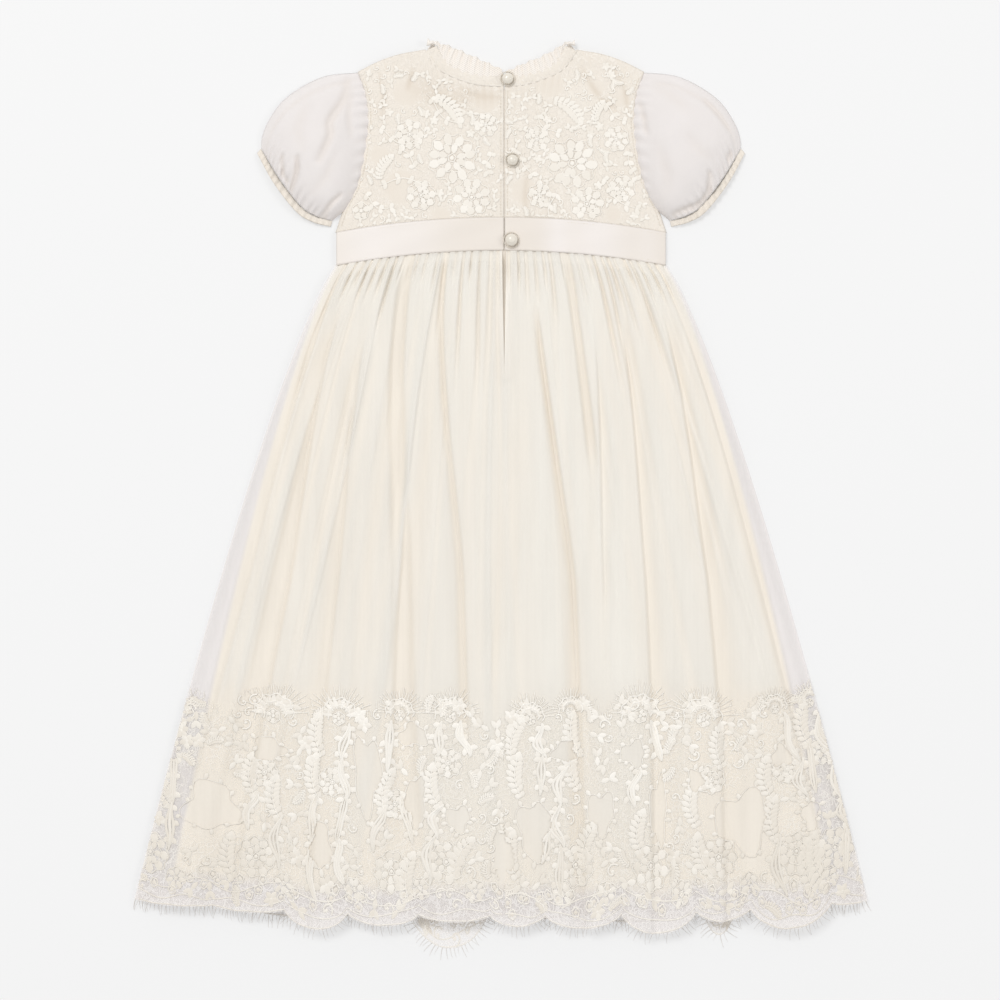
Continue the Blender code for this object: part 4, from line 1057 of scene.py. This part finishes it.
rows = [(across + sprays.luck.uniform(-1.6, 1.6), up + sprays.luck.uniform(-1.6, 1.6))
        for up in np.arange(204, 326, 5.6) for across in np.arange(-106, 108, 5.6)]
rows = [(a, b) for a, b in rows if abs(a - CENTRE_BACK) > 3 and b < 301 + 0.28 * abs(a)]
sprays.fill(rows, 5.8)
sprays.tones = [0.7 * tone for tone in sprays.tones]


def keep(x, y):
    """Keeps the lace on the two back halves, off the opening and above the ribbon."""
    side = np.interp(y, [p[1] for p in SIDE_SEAM], [p[0] for p in SIDE_SEAM])
    neck = np.interp(np.abs(x), [-p[0] for p in NECK_SEAM], [p[1] for p in NECK_SEAM])
    shoulder = np.interp(np.abs(x), [-p[0] for p in SHOULDER[::-1]], [p[1] for p in SHOULDER[::-1]])
    within = (np.abs(x) < -side - 1.5) & (y < np.minimum(neck, shoulder) - 1.5)
    return within & (np.abs(x - CENTRE_BACK) > OPENING_HALF + 0.3) & (y > 199.6 + waist_arch(x))


def lay(across, up, high):
    return np.stack([across, up, back_height(across, up) + 1.35 + high], axis=-1)


piece = sprays.piece("bodice_lace_sprays", lay, keep)
sewn(piece, "lace", *[f"lace_blossom_{i + 1}" for i in range(12)], *[f"lace_leaf_{i + 1}" for i in range(4)])

# Neck binding and frill
# The back neck is bound with a narrow strip of the silk, and a ruffle of the net is gathered onto
# it. The ruffle curls over at the shoulder points, and a flat one edges the front neck.
BINDING_EDGE = ((0, 314.5), (-16, 316), (-31, 320), (-42, 327), (-49, 338))
FRILL_BASE = (
    (0, 315.2), (-16, 316.7), (-31, 320.7), (-41.6, 327.9), (-47.8, 338.9), (-55.5, 339.8),
)
FRILL_EDGE = ((-1.5, 320), (-16, 326.5), (-30, 332.5), (-43, 338.5), (-55, 343.4))
frill_net = Finish("frill net", Roughness=0.8, Sheen_Weight=0.1, Specular_IOR_Level=0.2)
# Painted shade from the fold mark, darker in the ruffles' troughs.
frill_net.colour(frill_net.mark("fold"), (247, 241, 234), (237, 229, 219))
frill_net.give("Alpha", frill_net.mesh_holes(1.25).between(1.3, 0.1) * 0.15 + 0.85)
frill_net.relief(frill_net.mesh_holes(1.25) * -0.3, 0.08)


def strip(inner, outer, u, v):
    return np.moveaxis(inner(u) * (1 - v[..., None]) + outer(u) * v[..., None], -1, 0)


for label, flip in (("left", 1), ("right", -1)):

    def line(points):
        first = (CENTRE_BACK + flip * (points[0][0] - OPENING_HALF), points[0][1])
        return curve([first] + mirrored(points[1:], flip))

    u, v = shares(70, 8)
    x, y = strip(line(NECK_SEAM), line(BINDING_EDGE), u, mix(-0.12, 1.1, v))
    z = back_height(x, y) + 0.8 + 0.3 * np.sin(pi * v)
    piece = cloth(f"neck_binding_strip_{label}", x, y, z, crepe.made, 0.3, fold=0, laced=1)
    sewn(piece, "bodice_silk", f"neck_binding_{label}")
    u, v = shares(220, 10)
    x, y = strip(line(FRILL_BASE), line(FRILL_EDGE), u, mix(-0.45, 1.15 - 0.35 * (flip < 0), v))
    turns = 2 * pi * (12 * u + 0.35 * np.sin(7 * u))
    full = 0.85 * v * smooth(0.06, 0.22, u)
    ruffle = full * (1 - np.cos(turns)) + 0.25 * v * (1 + np.sin(2.6 * turns))
    y = y + 0.5 * full * np.sin(turns) + 0.6 * v * np.sin(0.5 * turns) - 0.9 * bell(u - 1, 0.05) * v
    ruffle = ruffle + 3.6 * bell(u - 0.96, 0.05) * np.sin(pi * np.minimum(1, 0.2 + 0.8 * v))
    # Painted shade in the ruffle's troughs, stronger towards its edge.
    piece = cloth(f"neck_ruffle_{label}", x, y, back_height(x, y) + 0.6 + ruffle, frill_net.made, 0.3,
            fold=np.clip(0.7 - ruffle * 0.5, 0, 1) * (0.4 + 0.6 * v))
    sewn(piece, "tulle", f"neck_frill_{label}")
raised = [(x * 0.9, y + 7) for x, y in FRONT_NECK]
low, high = (curve(list(half)[::-1] + mirrored(half[1:], -1)) for half in (FRONT_NECK, raised))
u, v = shares(260, 8)
x, y = strip(low, high, u, mix(0.22, 1, v))
ruffle = 0.35 * v * (1 + np.sin(2 * pi * 24 * u))
# Painted shade in the front ruffle's troughs.
piece = cloth("neck_ruffle_front", x, y, 0.3 + ruffle, frill_net.made, 0.3, up=False, fold=0.5 - 0.5 * ruffle)
sewn(piece, "tulle", "neck_frill_front")

# Puff sleeves and cuff frills
# Each sleeve is one piece of fine white voile, sewn into a tube and gathered into the armhole and
# the cuff. It lies with its under layer flat and its upper layer puffed, and ends in a narrow frill.
OUTER_FOLD = (
    (-108, 319), (-129.8, 316.1), (-147.8, 308.6), (-164.3, 296.6),
    (-174.8, 281.6), (-179.3, 270), (-180, 261.5),
)
ARMHOLE = (
    (-107.5, 318.4), (-101.7, 301), (-100.3, 279.4),
    (-104, 252.4), (-109.4, 232), (-117.5, 216.5),
)
CUFF_SEAM = ((-180, 261.5), (-166.5, 239), (-150.5, 218.5), (-139.5, 211), (-126.6, 207.2))
CUFF_EDGE = ((-183.2, 257.8), (-170.5, 235), (-154, 214), (-141.5, 206.2), (-128, 202.6))
TOP_SHARE, FOLD_HEIGHT = 0.68, 1.4
SLEEVE_CREASES = {  # points of each crease, its width and its depth
    "left": (
        (((-115, 312), (-118, 298), (-128, 281), (-128, 270), (-136, 252)), 3.2, 2.6),
        (((-111, 304), (-114, 288), (-112, 270)), 2.5, 1.2),
        (((-164, 256), (-163.5, 243), (-160, 236)), 1.6, 2.4),
        (((-152.5, 254), (-153, 243), (-158, 230)), 2, 3.2),
        (((-120, 226), (-128, 218), (-134, 208)), 2, 3),
        (((-146, 292), (-152, 276), (-149, 262)), 5, 0.9),
        (((-124, 256), (-132, 238), (-140, 228)), 4, 0.9),
    ),
    "right": (
        (((156, 242), (156, 230), (150, 220), (140, 216), (130, 212)), 2.2, 3.4),
        (((104, 296), (107, 284), (109, 272)), 2.2, 1.8),
        (((172, 258), (171, 252)), 2, 2.6),
        (((153, 297), (162, 287), (170, 276)), 2, 1.8),
        (((116, 306), (128, 300), (138, 290)), 4.5, 0.9),
        (((118, 262), (124, 240), (122, 226)), 5, 0.9),
        (((140, 270), (150, 258), (160, 254)), 4.5, 0.8),
    ),
}
voile = Finish("sleeve voile", Roughness=0.75, Sheen_Weight=0.12, Specular_IOR_Level=0.2)
# Painted shade from the fold mark, with random blotches.
voile.colour(voile.mark("fold") + voile.mottle(22) * 0.3, (244, 239, 237), (232, 225, 220))
voile.give("Alpha", voile.mark("fold") * 0.1 + 0.88)
voile.relief(voile.threads(voile.x, 0.55) * voile.threads(voile.y, 0.5) + voile.mottle(3) * 0.6, 0.06)


def tube(name, flip, lines, columns, rows, height, closing, creases, gathers, finish, wall=0.3):
    """A flattened tube from its two ends and two folds; v runs from its near end to its far end."""
    outline = patch(*(curve(mirrored(line, flip)) for line in lines))
    u, v = shares(columns, rows)
    u, v = u[:, :-1], v[:, :-1]
    over = u < TOP_SHARE
    a = np.where(over, u / TOP_SHARE, (1 - u) / (1 - TOP_SHARE))
    x, y = np.moveaxis(outline(a, v), -1, 0)
    belly = np.sqrt(np.clip(4 * a * (1 - a), 0, 1))
    rise = height * np.sin(pi * mix(0 if height > 5 else 0.1, closing, v))
    dents = sum((trough(x, y, *crease) for crease in creases), np.zeros_like(x))
    cap = 0.7 * np.sin(2 * pi * (13 * a + 0.6 * np.sin(5 * a))) * smooth(0.2, 0, v)
    cuff = np.sin(2 * pi * (gathers * a + 0.5 * np.sin(6 * a)))
    pleats = cap * (height > 5) + cuff * (0.9 * smooth(0.72, 1, v) if height > 5 else 0.2 + 0.7 * v)
    soft = 0.5 * np.sin(x / 8 + 2 * np.sin(y / 12)) * smooth(0.1, 0.4, v) * (height > 5)
    edge = 0.9 * bell(a - 0.075, 0.018) * smooth(0, 0.2, v) * (height > 5)
    dip = np.minimum(dents, 0.3 * (2 + rise))
    set_in = mix(-1.3, 0, smooth(0, 0.07, v)) * (height > 5)
    top = FOLD_HEIGHT + belly * (2 + rise + pleats + soft - dip + set_in) - edge - 0.15
    under = np.maximum(FOLD_HEIGHT * (1 - belly) ** 2 + 0.2, 0.25 + 0.12 * belly * (1 + np.sin(x / 5)))
    under = np.maximum(under, 1.3 * smooth(0.06, 0.02, v) * (height > 5))
    # Painted shade in the creases, in the pleats' troughs and along the dip by the outer fold, and an even
    # painted shade on the under layer.
    sleeve_shade = np.where(over, np.clip(0.5 * dents - 0.25 * pleats + 0.5 * edge, 0, 1), 0.3)
    return cloth(name, x, y, np.where(over, top, under), finish, wall, closed=True, fold=sleeve_shade)


for label, flip in (("left", 1), ("right", -1)):
    inner = [(x + 2.2, y) for x, y in ARMHOLE]
    lines = inner, CUFF_SEAM, (inner[0],) + OUTER_FOLD[1:], (inner[-1], CUFF_SEAM[-1])
    piece = tube(f"puff_sleeve_{label}", flip, lines, 190, 64, 13.5, 0.93,
            SLEEVE_CREASES[label], 15, voile.made)
    sewn(piece, "sleeve_voile", f"sleeve_{label}")
    seam = [(x - 0.25, y - 0.3) for x, y in CUFF_SEAM]
    lines = seam, CUFF_EDGE, (seam[0], CUFF_EDGE[0]), (seam[-1], CUFF_EDGE[-1])
    piece = tube(f"cuff_ruffle_{label}", flip, lines, 300, 6, 1.5, 0.5, (), 15, crepe.made, 0.25)
    sewn(piece, "sleeve_voile", f"cuff_frill_{label}")

# Satin waistband
# A ribbon of ivory satin, 24 mm wide, covers the seam between bodice and skirt, in a front length
# and two back lengths that end at the centre-back opening. Its gloss changes along its length, and
# bands of painted sheen lighten its colour there.
satin = Finish("satin ribbon", Specular_IOR_Level=0.5, Sheen_Weight=0.1, Coat_Roughness=0.3)
# Painted sheen: this mark lightens the ribbon's colour in bands.
lustre = satin.mark("lustre")
ribs = satin.threads(satin.y, 0.35)
satin.colour(lustre, (231, 223, 214), (238, 232, 228))
satin.give("Roughness", satin.mottle(9, 2, (3, 1, 1)) * 0.15 + 0.34)
satin.relief(ribs * 0.4 + satin.mottle(14, 2, (2, 1, 1)) * 4, 0.05)
half = WAIST_HALF + 1
# Bands of painted sheen: where each lies across, its width and how much it lightens the ribbon.
PAINTED_SHEEN_BANDS = ((-98, 24, 0.8), (-62, 20, 0.45), (42, 10, 0.7), (72, 24, 0.85), (110, 9, 0.35))
for label, start, end, up in (("back_left", -half, CENTRE_BACK - OPENING_HALF, True),
        ("back_right", CENTRE_BACK + 0.5, half, True), ("front", -half, half, False)):
    u, v = shares(120, 16)
    x = mix(start, end, u)
    y = WAIST_Y + waist_arch(x) - 0.4 + v * 25
    wave = 0.22 * np.sin(x / 11 + 1.4 * np.sin(y / 9)) * np.sin(pi * v) + 0.15 * np.sin(pi * v)
    z = (back_height(x, y) + 1.25 + wave) if up else 0.45 + 0.25 * (wave + 0.2)
    # How much painted sheen lightens each point of the ribbon.
    painted_sheen_amount = sum(height * bell(x - at, width) for at, width, height in PAINTED_SHEEN_BANDS)
    piece = cloth(f"waist_ribbon_{label}", x, y, z, satin.made, 0.45, up=up, lustre=np.clip(painted_sheen_amount, 0, 1))
    sewn(piece, "satin", f"waistband_{label}")

# Seams and stitches
# The panels are joined with small running stitches of ivory thread, which show along both edges of
# the ribbon, round the armholes, along the neck binding and down each side of the back opening.
stitching = thread_tree("running stitches", "Stitches", False, ("Pitch", "Float", 2.3 * MM),
        ("Length", "Float", 1.4 * MM), ("Thickness", "Float", 0.2 * MM), ("Seed", "Int", 3))
sewing_thread = Finish("sewing thread", Roughness=0.6, Sheen_Weight=0.2)
ply = sewing_thread.threads(sewing_thread.x + sewing_thread.y, 0.3)
sewing_thread.colour(ply, (226, 214, 194), (243, 236, 224))
sewing_thread.relief(ply, 0.05)


def on_back(x, y, high):
    return np.column_stack([x, y, back_height(x, y) + high])


stitch_lines = {}
for label, flip in (("left", 1), ("right", -1)):
    side = np.linspace(0.04, 0.96, 60)
    start = CENTRE_BACK - flip * (OPENING_HALF + 1.6)
    x = mix(start, -flip * 122, side)
    for edge, above in (("lower", 1.6), ("upper", 22.2)):
        stitch_lines[f"ribbon_{edge}_{label}"] = on_back(x, WAIST_Y + waist_arch(x) + 0.3 + above, 1.25)
    x, y = np.moveaxis(curve(mirrored(SIDE_SEAM, flip))(side), -1, 0)
    stitch_lines[f"armhole_{label}"] = on_back(x + flip * 2, y, 1.1)
    x, y = np.moveaxis(curve(mirrored(NECK_SEAM, flip))(side), -1, 0)
    stitch_lines[f"neck_{label}"] = on_back(x, y + 1.6, 0.95)
    y = np.linspace(212, 304, 50)
    stitch_lines[f"opening_{label}"] = on_back(0 * y + CENTRE_BACK - flip * (OPENING_HALF + 2.2), y, 1.1)
for label, line in stitch_lines.items():
    sewn(made_by(f"stitches_{label}", stitching, line, Finish=sewing_thread.made), "lace")

# Pearl buttons and thread loops
# Three domed pearl buttons stand on the right half of the back opening. A loop of twisted ivory
# thread, sewn to the left half, lies round each of them.
PEARLS = ((5, 313.4, 4.2), (8.6, 252.4, 4), (7.8, 192.4, 4.6))
pearl = Finish("pearl", Coat_Weight=0.3, Coat_Roughness=0.15, Specular_IOR_Level=0.5)
nacre = pearl.mottle(2.5, 3)
pearl.colour(nacre, (236, 230, 219), (222, 215, 202))
pearl.give("Roughness", nacre * 0.12 + 0.2)
loop_thread = Finish("loop thread", Roughness=0.7, Sheen_Weight=0.2)
twist = loop_thread.threads(loop_thread.x + loop_thread.y * 0.7, 0.5)
loop_thread.colour(twist, (230, 221, 207), (248, 243, 234))
loop_thread.relief(twist, 0.06)


def ply_of(radius, seat, strand, twists, offset, sides=6, steps=120):
    """One ply of a twisted ring of thread, as rows of points round its own path."""
    turn, around = np.meshgrid(np.linspace(0, 2 * pi, steps + 1)[:-1],
            np.linspace(0, 2 * pi, sides + 1)[:-1], indexing="ij")
    lay = twists * turn + offset
    out = radius + strand * np.cos(lay) + 0.8 * strand * np.cos(around)
    high = strand * np.sin(lay) + 0.8 * strand * np.sin(around)
    return seat[0] + out * np.cos(turn), seat[1] + out * np.sin(turn), seat[2] + high


def formed(name, bm, finish):
    """The piece that was built in bm, which is freed."""
    mesh = bpy.data.meshes.new(name)
    bm.to_mesh(mesh)
    bm.free()
    return shown(name, mesh, finish)


for i, (across, up, radius) in enumerate(PEARLS, 1):
    cover = 1.5 if up < 209 else 1.2
    seat = np.array([across, up, float(back_height(np.float64(across), np.float64(up))) + cover + 0.39])
    bm = bmesh.new()
    bmesh.ops.create_uvsphere(bm, u_segments=40, v_segments=24, radius=1)
    for vert in bm.verts:
        face = vert.co.normalized()
        dish = 0.06 * math.exp(-((math.hypot(face.x, face.y) - 0.72) / 0.1) ** 2) if face.z > 0 else 0
        size = radius * (1 - dish)
        vert.co = Vector((seat[0] + face.x * size, seat[1] + face.y * size,
                seat[2] + 0.72 * radius + face.z * 0.72 * size)) * MM
    sewn(formed(f"pearl_{i}", bm, pearl.made), "pearl", f"pearl_button_{i}")
    bm = bmesh.new()
    for offset in (0, pi):
        spots = np.stack(ply_of(radius + 1.15, seat + (0, 0, 0.55), 0.3, 16, offset), axis=-1)
        verts = [[bm.verts.new(Vector(p) * MM) for p in ring] for ring in spots]
        for ring, after in zip(verts, verts[1:] + verts[:1]):
            for k in range(len(ring)):
                beside = (k + 1) % len(ring)
                bm.faces.new((ring[k], after[k], after[beside], ring[beside]))
    bmesh.ops.recalc_face_normals(bm, faces=bm.faces)
    sewn(formed(f"thread_loop_{i}", bm, loop_thread.made), "lace", f"button_loop_{i}")

# Surface, light and camera
# The gown lies on a plain pale surface under broad soft light. The camera looks straight down from
# far off, so that the gown's outline is as in the photograph.
paper = Finish("pale surface", Roughness=0.9, Specular_IOR_Level=0.1)
paper.colour(paper.mottle(400), (176, 176, 176), (175, 175, 175))
paper.shader.inputs["Emission Color"].default_value = (1, 1, 1, 1)
paper.shader.inputs["Emission Strength"].default_value = 0.46
mesh = bpy.data.meshes.new("pale_surface")
mesh.from_pydata([(-4, -4, 0), (4, -4, 0), (4, 4, 0), (-4, 4, 0)], [], [(0, 1, 2, 3)])
shown("pale_surface", mesh, paper.made)

world = bpy.context.scene.world or bpy.data.worlds.new("soft room")
bpy.context.scene.world = world
world.use_nodes = True
sky = world.node_tree.nodes["Background"]
sky.inputs[0].default_value = (1, 1, 1, 1)
sky.inputs[1].default_value = 0.62


def softbox(name, place, size, power):
    light = bpy.data.lights.new(name, "AREA")
    light.shape, light.size, light.energy = "DISK", size, power
    lamp = bpy.data.objects.new(name, light)
    lamp.location = place
    lamp.rotation_euler = (-Vector(place)).to_track_quat("-Z", "Y").to_euler()
    bpy.context.scene.collection.objects.link(lamp)


softbox("softbox above", (-1.5, 2, 4), 1.8, 93)
softbox("softbox right", (3.2, 0.4, 2.6), 1.4, 25)

lens = bpy.data.cameras.new("camera")
lens.lens, lens.sensor_width = 150, 36
camera = bpy.data.objects.new("camera", lens)
camera.location = (-0.75 * MM, -2.6 * MM, 3.125 + 0.006)
bpy.context.scene.collection.objects.link(camera)
bpy.context.scene.camera = camera
bpy.context.scene.view_settings.view_transform = "Standard"
bpy.context.scene.cycles.transparent_max_bounces = 16
